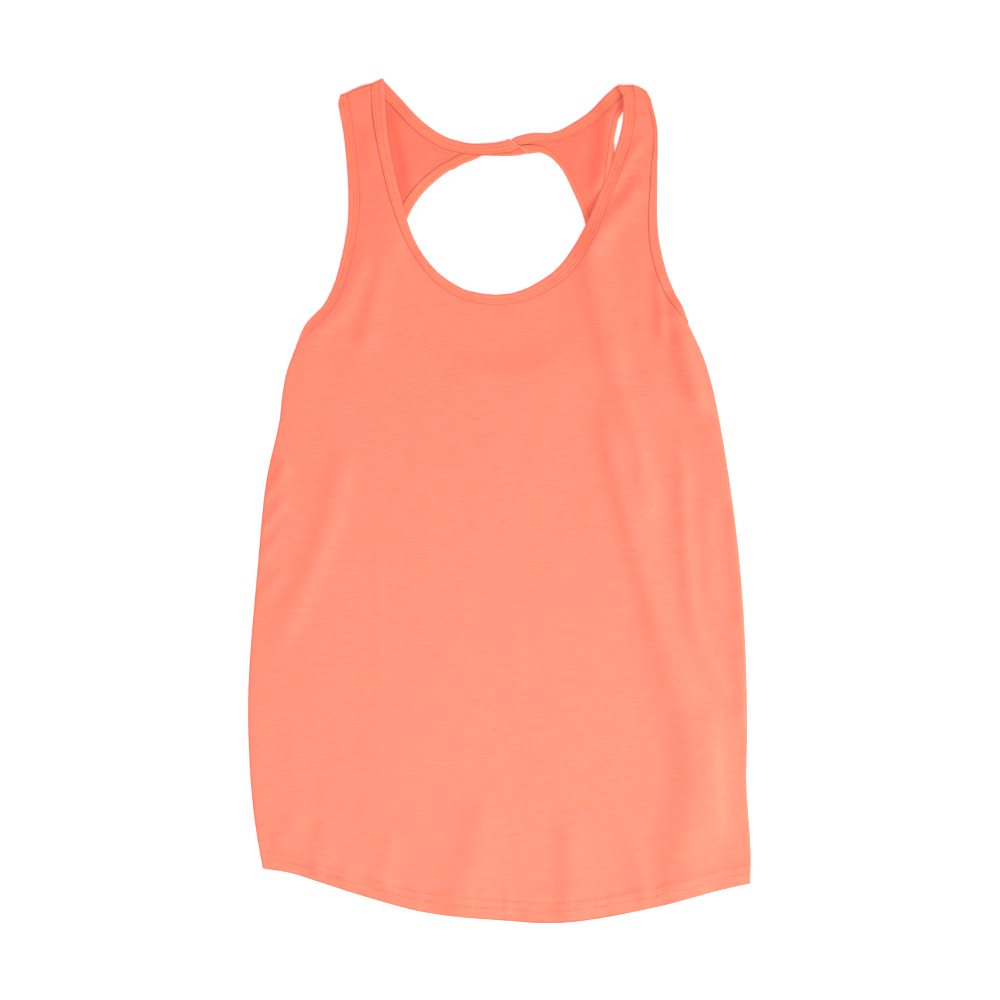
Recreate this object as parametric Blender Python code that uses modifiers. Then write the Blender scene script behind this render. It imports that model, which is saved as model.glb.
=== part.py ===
"""A sleeveless tank top with a deep scoop neck and an open back that twists between the shoulder blades.

It lies flat, front up. +X is the viewer's right, +Y runs from the hem to the shoulders and +Z is up. The
origin is the middle of the garment's outline, on the surface that it lies on. The tables hold millimetres.
Each cloth piece starts as the garment's outer face, and its wall grows from there towards the inside.
"""

import math
from collections import namedtuple

import bmesh
import bpy
from mathutils import Vector

MM = 0.001

# Cloth and seams
CLOTH = 1.0
SEAM_GAP = 0.3
BINDING = 1.6
BINDING_STEP = BINDING - CLOTH
FRONT_FACE = 2 * CLOTH + SEAM_GAP

# Hem: an allowance turned up inside, stacked on the back panel's own
HEM_ALLOWANCE = 16.0
HEM_ROLL = CLOTH + SEAM_GAP / 2
HEM_STACK = 2 * (CLOTH + SEAM_GAP)
HEM_EASE = 22.0
HEM_ROLL_STEPS = 3

# Shoulders: the back folds forward over the top and meets the front a little below
SHOULDER_ROLL = 2.0
SHOULDER_ROLL_STEPS = 5
ROLL_GAP = 0.6
SHOULDER_EASE = 45.0

# Twist between the shoulder blades
TWIST_LIFT = CLOTH + SEAM_GAP
TWIST_CROWN = 1.6
TWIST_ROWS = 7
TWIST_EASE = 5

# Bindings start where they are at least this wide at the underarm
UNDERARM_WIDTH = 1.5

# Grid sizes
BODY_COLUMNS = 26
BODY_ROWS = 17
FRONT_STRAP_ROWS = 15
BACK_COLUMNS = 8
BACK_ROWS = 9
WING_ROWS = 20
SHOULDER_ROWS = 11
SIDE_STEPS = 60

CORAL = (0.99, 0.31, 0.20, 1.0)
CLOTH_ROUGHNESS = 0.9

# Side edges from the hem to the underarm, one row for each height
Side = namedtuple("Side", "x y")
LEFT_SIDE = (
    Side(-204.0, -316.5),
    Side(-212.0, -268.0),
    Side(-216.3, -206.0),
    Side(-216.0, -150.0),
    Side(-208.0, -52.0),
    Side(-201.0, 17.0),
    Side(-190.0, 67.0),
    Side(-187.4, 90.0),
    Side(-183.4, 111.0),
    Side(-175.5, 132.0),
)
RIGHT_SIDE = (
    Side(215.4, -329.4),
    Side(215.6, -297.0),
    Side(212.2, -245.0),
    Side(212.8, -195.0),
    Side(210.9, -120.0),
    Side(206.0, -52.0),
    Side(197.4, 17.0),
    Side(185.4, 86.0),
    Side(175.6, 122.0),
    Side(161.5, 152.5),
)

# Hem curve: how far it drops below the straight line between its corners
HemDrop = namedtuple("HemDrop", "across front back")
HEM_CURVE = (
    HemDrop(0.0, 0.0, 0.0),
    HemDrop(46.0, 9.8, 8.5),
    HemDrop(92.0, 22.6, 20.0),
    HemDrop(143.0, 34.0, 31.0),
    HemDrop(210.0, 38.6, 35.0),
    HemDrop(248.0, 39.4, 35.5),
    HemDrop(289.0, 34.0, 30.5),
    HemDrop(336.0, 23.4, 21.0),
    HemDrop(390.0, 7.4, 6.5),
    HemDrop(419.0, 0.0, 0.0),
)

# Seam lines of the front and the width of the binding outside them
Seam = namedtuple("Seam", "x y band")
FRONT_ARMHOLE_LEFT = (
    Seam(-175.5, 132.0, 1.2),
    Seam(-162.0, 147.3, 6.6),
    Seam(-145.2, 164.5, 7.4),
    Seam(-133.7, 188.3, 7.8),
    Seam(-123.4, 230.5, 8.6),
    Seam(-120.8, 262.0, 9.6),
    Seam(-124.4, 303.0, 8.6),
    Seam(-129.9, 344.8, 8.6),
)
FRONT_ARMHOLE_RIGHT = (
    Seam(161.5, 152.5, 1.2),
    Seam(152.6, 163.0, 5.5),
    Seam(143.6, 175.0, 7.6),
    Seam(133.6, 199.0, 8.6),
    Seam(127.9, 232.0, 8.0),
    Seam(129.8, 280.0, 5.6),
    Seam(132.6, 318.0, 2.8),
    Seam(126.9, 345.6, 3.6),
)
FRONT_NECK_LEFT = (
    Seam(-3.4, 168.1, 8.9),
    Seam(-20.2, 170.1, 8.8),
    Seam(-37.0, 175.5, 8.4),
    Seam(-60.0, 192.6, 7.4),
    Seam(-79.4, 220.0, 7.2),
    Seam(-93.5, 256.0, 9.2),
    Seam(-104.1, 299.3, 9.8),
    Seam(-109.2, 328.0, 11.2),
    Seam(-111.2, 351.4, 11.8),
)
FRONT_NECK_RIGHT = (
    Seam(-3.4, 168.1, 8.9),
    Seam(13.5, 170.1, 8.9),
    Seam(34.0, 177.3, 9.8),
    Seam(58.0, 193.2, 11.0),
    Seam(78.7, 222.4, 11.2),
    Seam(94.0, 258.5, 10.2),
    Seam(107.5, 294.5, 10.0),
    Seam(115.2, 323.4, 10.0),
    Seam(116.1, 347.2, 10.7),
)

# Sections across each back wing, from the armhole seam to the keyhole or neck seam, with both bindings' widths
Wing = namedtuple("Wing", "arm_x arm_y arm_band seam_x seam_y seam_band")
KEYHOLE_BOTTOM_X = 4.7
KEYHOLE_BOTTOM_Y = 101.4
LEFT_KEYHOLE = (
    Wing(-187.0, 88.0, 0.0, KEYHOLE_BOTTOM_X, KEYHOLE_BOTTOM_Y, 8.6),
    Wing(-182.0, 110.0, 0.0, -27.0, 109.0, 8.6),
    Wing(-175.5, 131.5, 1.2, -53.0, 127.0, 8.6),
    Wing(-158.0, 144.0, 6.0, -75.0, 152.0, 8.6),
    Wing(-138.0, 162.0, 8.0, -88.0, 181.0, 8.6),
    Wing(-124.0, 190.0, 8.6, -92.0, 215.0, 8.6),
    Wing(-117.0, 216.0, 8.6, -88.5, 243.0, 8.6),
    Wing(-114.0, 238.0, 8.6, -75.4, 266.8, 9.0),
    Wing(-113.0, 250.0, 8.6, -55.0, 286.0, 8.6),
    Wing(-113.0, 258.0, 8.6, -33.0, 298.3, 7.4),
)
LEFT_SHOULDER = (
    Wing(-113.0, 258.0, 8.6, -33.0, 298.9, 9.6),
    Wing(-113.0, 268.0, 8.6, -48.0, 302.7, 10.0),
    Wing(-113.6, 280.0, 8.6, -62.0, 310.0, 10.2),
    Wing(-115.4, 296.0, 8.6, -78.0, 322.6, 10.4),
    Wing(-119.5, 318.0, 8.6, -94.0, 340.0, 10.4),
    Wing(-128.8, 347.9, 8.6, -110.3, 355.9, 11.2),
)
RIGHT_KEYHOLE = (
    Wing(186.0, 82.0, 0.0, KEYHOLE_BOTTOM_X, KEYHOLE_BOTTOM_Y, 8.6),
    Wing(177.0, 112.0, 0.0, 34.0, 106.6, 8.6),
    Wing(167.0, 139.5, 1.2, 59.0, 121.0, 8.6),
    Wing(147.0, 154.0, 6.0, 78.0, 145.0, 8.6),
    Wing(126.0, 172.0, 8.0, 87.0, 178.0, 8.6),
    Wing(108.0, 202.0, 8.6, 86.0, 212.0, 8.0),
    Wing(97.0, 235.0, 7.0, 77.5, 244.0, 5.6),
    Wing(90.0, 262.0, 5.2, 66.5, 268.0, 4.2),
    Wing(90.4, 283.0, 4.2, 55.0, 289.0, 4.0),
    Wing(92.5, 299.0, 4.2, 40.0, 302.6, 5.2),
    Wing(93.5, 308.0, 4.2, 18.0, 304.8, 8.2),
)
RIGHT_SHOULDER = (
    Wing(93.5, 308.0, 4.2, 18.0, 305.4, 9.4),
    Wing(93.8, 310.0, 4.2, 34.0, 308.6, 8.2),
    Wing(94.6, 315.0, 4.2, 50.0, 310.4, 7.4),
    Wing(96.2, 322.0, 4.2, 66.0, 316.2, 9.2),
    Wing(98.2, 330.0, 4.2, 83.0, 326.4, 10.2),
    Wing(106.0, 341.5, 4.2, 97.0, 341.0, 10.2),
    Wing(120.4, 352.2, 4.2, 108.6, 355.2, 10.6),
)

# The four lines that run over each shoulder: where they cross the fold and where they end at the shoulder seam
Lane = namedtuple("Lane", "fold_x fold_y seam_x seam_y")
Shoulder = namedtuple("Shoulder", "arm_free arm_seam neck_seam neck_free")
LEFT = Shoulder(
    arm_free=Lane(-137.6, 347.1, -138.9, 341.4),
    arm_seam=Lane(-129.5, 350.8, -129.9, 344.8),
    neck_seam=Lane(-110.5, 359.4, -111.2, 351.4),
    neck_free=Lane(-99.4, 364.5, -99.2, 355.4),
)
RIGHT = Shoulder(
    arm_free=Lane(127.0, 352.2, 130.3, 345.0),
    arm_seam=Lane(121.9, 353.3, 126.9, 345.6),
    neck_seam=Lane(109.2, 356.1, 116.1, 347.2),
    neck_free=Lane(99.6, 358.2, 105.6, 348.2),
)

# The largest folds of the front: soft ridges, each along the line from its start to its end
Ridge = namedtuple("Ridge", "start_x start_y end_x end_y half_width height")
RIDGES = (
    Ridge(91.0, 200.0, 98.0, 148.0, 11.0, 2.4),
    Ridge(98.0, 148.0, 141.0, -24.0, 13.0, 4.2),
    Ridge(173.0, 78.0, 190.0, 34.0, 10.0, 3.0),
    Ridge(160.0, 52.0, 171.0, -90.0, 13.0, 3.8),
    Ridge(171.0, -90.0, 196.0, -176.0, 13.0, 3.2),
    Ridge(188.0, -191.0, 191.0, -291.0, 14.0, 4.6),
    Ridge(-116.0, 56.0, -146.0, -38.0, 15.0, 2.8),
    Ridge(-146.0, -38.0, -196.0, -162.0, 14.0, 3.2),
    Ridge(-119.0, 205.0, -144.0, 158.0, 10.0, 2.2),
    Ridge(126.0, 270.0, 88.0, 220.0, 8.0, 2.2),
    Ridge(74.0, -262.0, 72.0, -318.0, 12.0, 1.8),
    Ridge(-192.0, -292.0, -166.0, -262.0, 10.0, 1.8),
)


def clear_scene():
    for old in list(bpy.data.objects):
        bpy.data.objects.remove(old, do_unlink=True)


def smooth_rows(rows, count, by_first=False):
    """count + 1 rows on a smooth curve through a table's rows, evenly along it or evenly in the first column."""
    places = [0.0]
    for before, after in zip(rows, rows[1:]):
        places.append(places[-1] + (after[0] - before[0] if by_first else math.dist(before, after)))
    sampled = []
    for step in range(count + 1):
        place = places[-1] * step / count
        span = max(i for i in range(len(rows) - 1) if places[i] <= place + 1e-9)
        near = (places[span], places[span + 1])
        t = (place - near[0]) / (near[1] - near[0])
        row = []
        for column in range(len(rows[0])):
            a, b = rows[span][column], rows[span + 1][column]
            slope_a = slope_at(rows, places, span, column) * (near[1] - near[0])
            slope_b = slope_at(rows, places, span + 1, column) * (near[1] - near[0])
            row.append(hermite(a, b, slope_a, slope_b, t))
        sampled.append(row)
    return sampled


def slope_at(rows, places, index, column):
    low, high = max(index - 1, 0), min(index + 1, len(rows) - 1)
    return (rows[high][column] - rows[low][column]) / (places[high] - places[low])


def hermite(a, b, slope_a, slope_b, t):
    return (
        (2 * t**3 - 3 * t**2 + 1) * a
        + (t**3 - 2 * t**2 + t) * slope_a
        + (3 * t**2 - 2 * t**3) * b
        + (t**3 - t**2) * slope_b
    )


def ease(t):
    t = min(max(t, 0.0), 1.0)
    return t * t * (3 - 2 * t)


def mix(a, b, t):
    return tuple((1 - t) * p + t * q for p, q in zip(a, b))


def moved_out(points, distances, side):
    """The line of points shifted sideways: side 1 is to the left of its direction and -1 to the right."""
    shifted = []
    for i, (x, y) in enumerate(points):
        before = Vector(points[max(i - 1, 0)])
        after = Vector(points[min(i + 1, len(points) - 1)])
        along = (after - before).normalized()
        shifted.append((x - side * along.y * distances[i], y + side * along.x * distances[i]))
    return shifted


def ridge_height(x, y):
    """How far the front's folds lift it at one place."""
    total = 0.0
    for ridge in RIDGES:
        start = Vector((ridge.start_x, ridge.start_y))
        line = Vector((ridge.end_x, ridge.end_y)) - start
        along = (Vector((x, y)) - start).dot(line) / line.length_squared
        nearest = start + line * min(max(along, 0.0), 1.0)
        reach = (Vector((x, y)) - nearest).length / ridge.half_width
        total = max(total, ridge.height * math.exp(-reach * reach))
    return total


def front_height(x, y, shoulder_y):
    """The outer face of the front: flat on the back, with its folds, and rising to the shoulder seam."""
    rise = 2 * SHOULDER_ROLL - FRONT_FACE
    lift = rise * ease(1 - (shoulder_y - y) / SHOULDER_EASE)
    fade = ease((shoulder_y - y) / SHOULDER_EASE)
    return FRONT_FACE + lift + fade * ridge_height(x, y)


def outward(shoulder):
    """The direction that the back's cloth leaves the body in at a shoulder, square to its fold."""
    arm, neck = shoulder.arm_free, shoulder.neck_free
    along = Vector((neck.fold_x - arm.fold_x, neck.fold_y - arm.fold_y)).normalized()
    return Vector((-along.y, along.x)) if along.x > 0 else Vector((along.y, -along.x))


def over_shoulder(shoulder, lane):
    """One line of the back from where it leaves the flat, over the shoulder's fold, to the shoulder seam."""
    out = outward(shoulder)
    centre = Vector((lane.fold_x, lane.fold_y)) - out * SHOULDER_ROLL
    points = []
    for step in range(SHOULDER_ROLL_STEPS + 1):
        angle = math.pi * step / SHOULDER_ROLL_STEPS
        place = centre + out * SHOULDER_ROLL * math.sin(angle)
        points.append((place.x, place.y, SHOULDER_ROLL * (1 - math.cos(angle))))
    end = Vector((lane.seam_x, lane.seam_y)) + out * SEAM_GAP / 2
    points.append((end.x, end.y, 2 * SHOULDER_ROLL))
    return points


def front_end(shoulder, lane):
    """Where a line of the front ends, just short of the shoulder seam."""
    end = Vector((lane.seam_x, lane.seam_y)) - outward(shoulder) * SEAM_GAP / 2
    return (end.x, end.y)


def beside(lane, other):
    """A lane moved towards another one, by the gap that two rolled edges keep."""
    return Lane(*mix(lane, other, ROLL_GAP / math.dist(lane[:2], other[:2])))


def add_patch(bm, rows):
    """A four-sided sheet through rows of points, made as a grid whose vertices move to those points."""
    columns = len(rows[0]) - 1
    grid = bmesh.ops.create_grid(bm, x_segments=columns, y_segments=len(rows) - 1, size=1.0)
    ordered = sorted(grid["verts"], key=lambda v: (round(v.co.y, 5), round(v.co.x, 5)))
    for index, vertex in enumerate(ordered):
        point = rows[index // (columns + 1)][index % (columns + 1)]
        vertex.co = Vector(point) * MM


def sheet(name, patches, face_up, thickness, collection):
    """One cloth piece: its outer face from patches that share an edge, with a wall grown to the inside."""
    bm = bmesh.new()
    for rows in patches:
        add_patch(bm, rows)
    bmesh.ops.remove_doubles(bm, verts=bm.verts, dist=0.00001)
    if not face_up:
        bmesh.ops.reverse_faces(bm, faces=bm.faces)
    mesh = bpy.data.meshes.new(name)
    bm.to_mesh(mesh)
    bm.free()
    mesh.shade_smooth()
    piece = bpy.data.objects.new(name, mesh)
    piece.data.materials.append(cloth_material(name))
    wall = piece.modifiers.new("Wall", "SOLIDIFY")
    wall.thickness = thickness * MM
    wall.offset = -1.0
    collection.objects.link(piece)
    return piece


def cloth_material(name):
    material = bpy.data.materials.new(name + "_jersey")
    material.use_nodes = True
    shader = material.node_tree.nodes["Principled BSDF"]
    shader.inputs["Base Color"].default_value = CORAL
    shader.inputs["Roughness"].default_value = CLOTH_ROUGHNESS
    shader.inputs["Metallic"].default_value = 0.0
    return material


def side_line(table, top_y):
    """One side edge from the hem up to a height, as evenly spaced points."""
    points = [(x, y) for x, y in smooth_rows(table, SIDE_STEPS) if y < top_y]
    last = Vector(points[-1])
    ahead = Vector(smooth_rows(table, SIDE_STEPS)[min(len(points), SIDE_STEPS)])
    points.append(tuple(last.lerp(ahead, (top_y - last.y) / (ahead.y - last.y))))
    return points


def body_rows(drops, columns, rows, left, middle, right, is_front):
    """The body from the turned-up allowance, round the roll of the hem, to the line left-middle-right."""
    left_side = side_line(LEFT_SIDE, left[1])
    right_side = side_line(RIGHT_SIDE, right[1])
    drops = [drop for across, drop in smooth_rows(drops, columns, by_first=True)]
    height = left[1] - left_side[0][1]
    chord = mix(left_side[-1], right_side[-1], 0.5)
    shift, bulge = middle[0] - chord[0], middle[1] - chord[1]

    def row_at(distance):
        v = distance / height
        start, end = read_line(left_side, v), read_line(right_side, v)
        row = []
        for column in range(columns + 1):
            x, y = mix(start, end, column / columns)
            peak = 1 - abs(2 * column / columns - 1)
            row.append((x + shift * peak * v, y - drops[column] * (1 - v) + bulge * peak * v * v))
        return row

    up = 1 if is_front else -1
    stack = HEM_STACK if is_front else 0.0
    face = FRONT_FACE if is_front else 0.0
    inner = face + stack - up * 2 * HEM_ROLL
    levels = [(HEM_ALLOWANCE, inner), (HEM_ALLOWANCE / 2, inner)]
    for step in range(HEM_ROLL_STEPS + 1):
        angle = math.pi * step / HEM_ROLL_STEPS
        levels.append((HEM_ROLL * (1 - math.sin(angle)), inner + up * HEM_ROLL * (1 - math.cos(angle))))
    stack_end = HEM_ALLOWANCE + CLOTH
    levels += [(HEM_ALLOWANCE / 2, face + stack), (stack_end, face + stack)]
    sheet_rows = [[(x, y, z) for x, y in row_at(distance)] for distance, z in levels]
    for step in range(1, rows + 1):
        distance = stack_end + (height - stack_end) * step / rows
        lift = stack * ease(1 - (distance - stack_end) / HEM_EASE)
        row = [(x, y, face + lift) for x, y in row_at(distance)]
        sheet_rows.append([(x, y, z + ridge_height(x, y)) for x, y, z in row] if is_front else row)
    return sheet_rows


def read_line(points, v):
    """The point at the fraction v of a line of evenly spaced points."""
    place = min(max(v, 0.0), 1.0) * (len(points) - 1)
    index = min(int(place), len(points) - 2)
    return mix(points[index], points[index + 1], place - index)


def ruled(edge_a, edge_b, columns):
    """Straight rows between two edges with as many points each."""
    return [[mix(a, b, i / columns) for i in range(columns + 1)] for a, b in zip(edge_a, edge_b)]


def front_edge(table, shoulder, lane):
    """One seam line of the front, up to the shoulder seam, and its binding's widths."""
    rows = smooth_rows(table, FRONT_STRAP_ROWS)
    points = [(x, y) for x, y, band in rows]
    points[-1] = front_end(shoulder, lane)
    return points, [band for x, y, band in rows]


def front_strap(arm_table, neck_table, shoulder, body_top):
    """Rows from the line between underarm and neck, outer end first, up to the shoulder seam."""
    arm = front_edge(arm_table, shoulder, shoulder.arm_seam)[0]
    neck = front_edge(neck_table, shoulder, shoulder.neck_seam)[0]
    shoulder_y = mix(shoulder.arm_seam, shoulder.neck_seam, 0.5)[3]
    rows = ruled(arm, neck, len(body_top) - 1)[1:]
    return [body_top] + [[(x, y, front_height(x, y, shoulder_y)) for x, y in row] for row in rows]


def front_band_half(table, shoulder, lane, free_lane, side):
    """The close and free edges of a binding along one seam line of the front."""
    points, widths = front_edge(table, shoulder, lane)
    close = moved_out(points, [SEAM_GAP] * len(points), side)
    free = moved_out(points, widths, side)
    free[-1] = front_end(shoulder, free_lane)
    shoulder_y = mix(shoulder.arm_seam, shoulder.neck_seam, 0.5)[3]
    edges = []
    for line in (close, free):
        edges.append([(x, y, front_height(x, y, shoulder_y) + BINDING_STEP) for x, y in line])
    return edges


def strip(name, edge_a, edge_b, face_up, thickness, collection):
    """A narrow piece between two edges, such as a binding."""
    rows = ruled(edge_a, edge_b, 1)
    return sheet(name, [rows], faces_up(rows) == face_up, thickness, collection)


def faces_up(rows):
    """Whether a grid through these rows has its faces up, judged from a cell a quarter of the way along."""
    place = len(rows) // 4
    across = Vector(rows[place][1]) - Vector(rows[place][0])
    along = Vector(rows[place + 1][0]) - Vector(rows[place][0])
    return across.cross(along).z > 0


def wing_lines(sections, count):
    """The seam and free edges on both sides of a wing, from its sections."""
    rows = [Wing(*row) for row in smooth_rows(sections, count)]
    arm = [(row.arm_x, row.arm_y) for row in rows]
    seam = [(row.seam_x, row.seam_y) for row in rows]
    return arm, [row.arm_band for row in rows], seam, [row.seam_band for row in rows]


def flat(points):
    return [(x, y, 0.0) for x, y in points]


def wing(keyhole, shoulder_table, shoulder):
    """The armhole and inner edges of one back wing: beside the keyhole, up to the shoulder and over it."""
    low_arm, _, low_seam, _ = wing_lines(keyhole, WING_ROWS)
    high_arm, _, high_seam, _ = wing_lines(shoulder_table, SHOULDER_ROWS)
    arm = flat(low_arm + high_arm[1:-1]) + over_shoulder(shoulder, shoulder.arm_seam)
    seam = flat(low_seam + high_seam[1:-1]) + over_shoulder(shoulder, shoulder.neck_seam)
    return arm, seam


def inner_binding(keyhole, shoulder_table, side, shoulder):
    """The binding's edges on a wing's inner edge: close and free below the twist, then close and free above it."""
    _, _, low, low_widths = wing_lines(keyhole, WING_ROWS)
    _, _, high, high_widths = wing_lines(shoulder_table, SHOULDER_ROWS)
    low_close = flat(moved_out(low, [SEAM_GAP] * len(low), side))
    low_free = flat(moved_out(low, low_widths, side))
    middle_x = KEYHOLE_BOTTOM_X + side * SEAM_GAP / 2
    low_close[0] = (middle_x, low_close[0][1], 0.0)
    low_free[0] = (middle_x, low_free[0][1], 0.0)
    high_close = flat(moved_out(high, [SEAM_GAP] * len(high), side)[:-1])
    high_free = flat(moved_out(high, high_widths, side)[:-1])
    high_close += over_shoulder(shoulder, beside(shoulder.neck_seam, shoulder.neck_free))
    high_free += over_shoulder(shoulder, shoulder.neck_free)
    return low_close, low_free, high_close, high_free


def eased_down(points, lift):
    """A line whose first points are raised, so that it comes down from the twist in steps."""
    return [(x, y, z + lift * ease(1 - index / TWIST_EASE)) for index, (x, y, z) in enumerate(points)]


def twisted_binding(name, neck_edges, keyhole_edges, lift, crown, collection):
    """A binding from a shoulder seam down to the twist, across it and on round the other side's keyhole."""
    neck_close, neck_free = (eased_down(line, lift) for line in neck_edges)
    key_close, key_free = (eased_down(line[::-1], lift) for line in keyhole_edges)
    below, above = neck_close[::-1], neck_free[::-1]
    for step in range(1, TWIST_ROWS):
        t = step / TWIST_ROWS
        z = lift + crown * math.sin(math.pi * t)
        below.append(mix(neck_close[0], key_free[0], ease(t))[:2] + (z,))
        above.append(mix(neck_free[0], key_close[0], ease(t))[:2] + (z,))
    strip(name, below + key_free, above + key_close, False, CLOTH, collection)


def back_arm_band(name, keyhole, shoulder_table, side, shoulder, collection):
    """The back part of an armhole's binding, from the underarm up and over the shoulder."""
    low, low_widths, _, _ = wing_lines(keyhole, WING_ROWS)
    high, high_widths, _, _ = wing_lines(shoulder_table, SHOULDER_ROWS)
    points, widths = low + high[1:], low_widths + high_widths[1:]
    first = next(i for i, width in enumerate(widths) if width > UNDERARM_WIDTH)
    close = flat(moved_out(points, [SEAM_GAP] * len(points), side))[first:-1]
    free = flat(moved_out(points, widths, side))[first:-1]
    close += over_shoulder(shoulder, beside(shoulder.arm_seam, shoulder.arm_free))
    free += over_shoulder(shoulder, shoulder.arm_free)
    strip(name, close, free, False, CLOTH, collection)


def make_front(collection):
    neck_bottom = FRONT_NECK_LEFT[0]
    left_underarm, right_underarm = FRONT_ARMHOLE_LEFT[0], FRONT_ARMHOLE_RIGHT[0]
    drops = [(row.across, row.front) for row in HEM_CURVE]
    rows = body_rows(drops, BODY_COLUMNS, BODY_ROWS, left_underarm, neck_bottom, right_underarm, True)
    half = BODY_COLUMNS // 2
    left = front_strap(FRONT_ARMHOLE_LEFT, FRONT_NECK_LEFT, LEFT, rows[-1][: half + 1])
    right = front_strap(FRONT_ARMHOLE_RIGHT, FRONT_NECK_RIGHT, RIGHT, rows[-1][half:][::-1])
    right = [row[::-1] for row in right]
    sheet("front", [rows, left, right], True, CLOTH, collection)


def make_back(collection):
    half = BACK_COLUMNS // 2
    left_arm, left_seam = wing(LEFT_KEYHOLE, LEFT_SHOULDER, LEFT)
    right_arm, right_seam = wing(RIGHT_KEYHOLE, RIGHT_SHOULDER, RIGHT)
    left = ruled(left_arm, left_seam, half)
    right = ruled(right_seam, right_arm, half)
    drops = [(row.across, row.back) for row in HEM_CURVE]
    rows = body_rows(drops, BACK_COLUMNS, BACK_ROWS, left_arm[0], left_seam[0], right_arm[0], False)
    rows[-1] = left[0] + right[0][1:]
    sheet("back", [rows, left, right], False, CLOTH, collection)


def make_front_bands(collection):
    left = front_band_half(FRONT_NECK_LEFT, LEFT, LEFT.neck_seam, LEFT.neck_free, -1)
    right = front_band_half(FRONT_NECK_RIGHT, RIGHT, RIGHT.neck_seam, RIGHT.neck_free, 1)
    close, free = (near[::-1] + far[1:] for near, far in zip(left, right))
    strip("neck_band", close, free, True, BINDING, collection)
    close, free = front_band_half(FRONT_ARMHOLE_LEFT, LEFT, LEFT.arm_seam, LEFT.arm_free, 1)
    strip("arm_band_front_left", close, free, True, BINDING, collection)
    close, free = front_band_half(FRONT_ARMHOLE_RIGHT, RIGHT, RIGHT.arm_seam, RIGHT.arm_free, -1)
    strip("arm_band_front_right", close, free, True, BINDING, collection)


def make_back_bands(collection):
    left = inner_binding(LEFT_KEYHOLE, LEFT_SHOULDER, -1, LEFT)
    right = inner_binding(RIGHT_KEYHOLE, RIGHT_SHOULDER, 1, RIGHT)
    twisted_binding("back_band_over", left[2:], right[:2], TWIST_LIFT, TWIST_CROWN, collection)
    twisted_binding("back_band_under", right[2:], left[:2], 0.0, 0.0, collection)
    back_arm_band("arm_band_back_left", LEFT_KEYHOLE, LEFT_SHOULDER, 1, LEFT, collection)
    back_arm_band("arm_band_back_right", RIGHT_KEYHOLE, RIGHT_SHOULDER, -1, RIGHT, collection)


clear_scene()
tank_top = bpy.data.collections.new("tank_top")
bpy.context.scene.collection.children.link(tank_top)
make_front(tank_top)
make_back(tank_top)
make_front_bands(tank_top)
make_back_bands(tank_top)
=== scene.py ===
import math
from collections import namedtuple

import bmesh
import bpy
from mathutils import Matrix, Vector, noise


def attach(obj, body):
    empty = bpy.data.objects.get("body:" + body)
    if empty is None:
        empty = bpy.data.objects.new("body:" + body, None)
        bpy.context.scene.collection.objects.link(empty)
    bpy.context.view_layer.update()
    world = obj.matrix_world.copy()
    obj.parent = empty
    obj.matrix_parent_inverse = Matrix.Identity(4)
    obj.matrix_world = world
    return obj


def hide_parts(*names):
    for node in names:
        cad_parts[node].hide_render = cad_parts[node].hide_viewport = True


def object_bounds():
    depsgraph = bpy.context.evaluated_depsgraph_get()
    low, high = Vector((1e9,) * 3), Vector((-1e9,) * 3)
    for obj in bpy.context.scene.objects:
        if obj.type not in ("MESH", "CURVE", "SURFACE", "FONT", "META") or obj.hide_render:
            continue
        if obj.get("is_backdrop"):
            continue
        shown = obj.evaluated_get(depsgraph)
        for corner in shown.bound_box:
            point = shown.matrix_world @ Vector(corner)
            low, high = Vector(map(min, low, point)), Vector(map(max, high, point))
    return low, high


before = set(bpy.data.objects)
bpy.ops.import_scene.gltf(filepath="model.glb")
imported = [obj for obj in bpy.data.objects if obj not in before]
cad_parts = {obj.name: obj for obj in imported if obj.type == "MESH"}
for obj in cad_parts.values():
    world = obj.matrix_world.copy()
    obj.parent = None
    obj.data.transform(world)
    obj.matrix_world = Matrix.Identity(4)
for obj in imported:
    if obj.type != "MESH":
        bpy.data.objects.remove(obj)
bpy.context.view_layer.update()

# ---- Camera, table and lights ------------------------------------------------------------------------
# The camera hangs straight over the garment, above a pale table. A large soft box stands low at the lower
# right, so that the folds show, and a wide one overhead fills the shade.

VIEW_WIDTH = 0.86
LENS = 100.0
SENSOR = 36.0
CAMERA_Y = 0.0004
CLOTH_TOP = 0.002

SoftBox = namedtuple("SoftBox", "name place aim size power colour")
SOFT_BOXES = (
    SoftBox("key", (1.75, -0.95, 0.95), (0.0, -0.05, 0.0), 0.9, 55.0, (1.0, 0.985, 0.96)),
    SoftBox("overhead", (-0.08, -0.22, 0.85), (-0.06, -0.16, 0.0), 0.8, 6.6, (1.0, 1.0, 1.0)),
    SoftBox("far_edge", (-0.1, 1.5, 0.6), (0.0, 0.25, 0.0), 0.9, 4.0, (1.0, 1.0, 1.0)),
)
ROOM_LIGHT = 0.37
TABLE_GLOW = 0.25
TABLE_HALF = 3.0
GRAINS_A_METRE = 60.0

scene = bpy.context.scene
scene.view_settings.view_transform = "Standard"

camera_data = bpy.data.cameras.new("camera")
camera_data.lens = LENS
camera_data.sensor_width = SENSOR
camera = bpy.data.objects.new("camera", camera_data)
camera.location = (0.0, CAMERA_Y, VIEW_WIDTH * LENS / SENSOR + CLOTH_TOP)
scene.collection.objects.link(camera)
scene.camera = camera

for box in SOFT_BOXES:
    light_data = bpy.data.lights.new(box.name, "AREA")
    light_data.size = box.size
    light_data.energy = box.power
    light_data.color = box.colour
    light = bpy.data.objects.new(box.name, light_data)
    light.location = box.place
    light.rotation_euler = (Vector(box.aim) - Vector(box.place)).to_track_quat("-Z", "Y").to_euler()
    scene.collection.objects.link(light)

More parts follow.
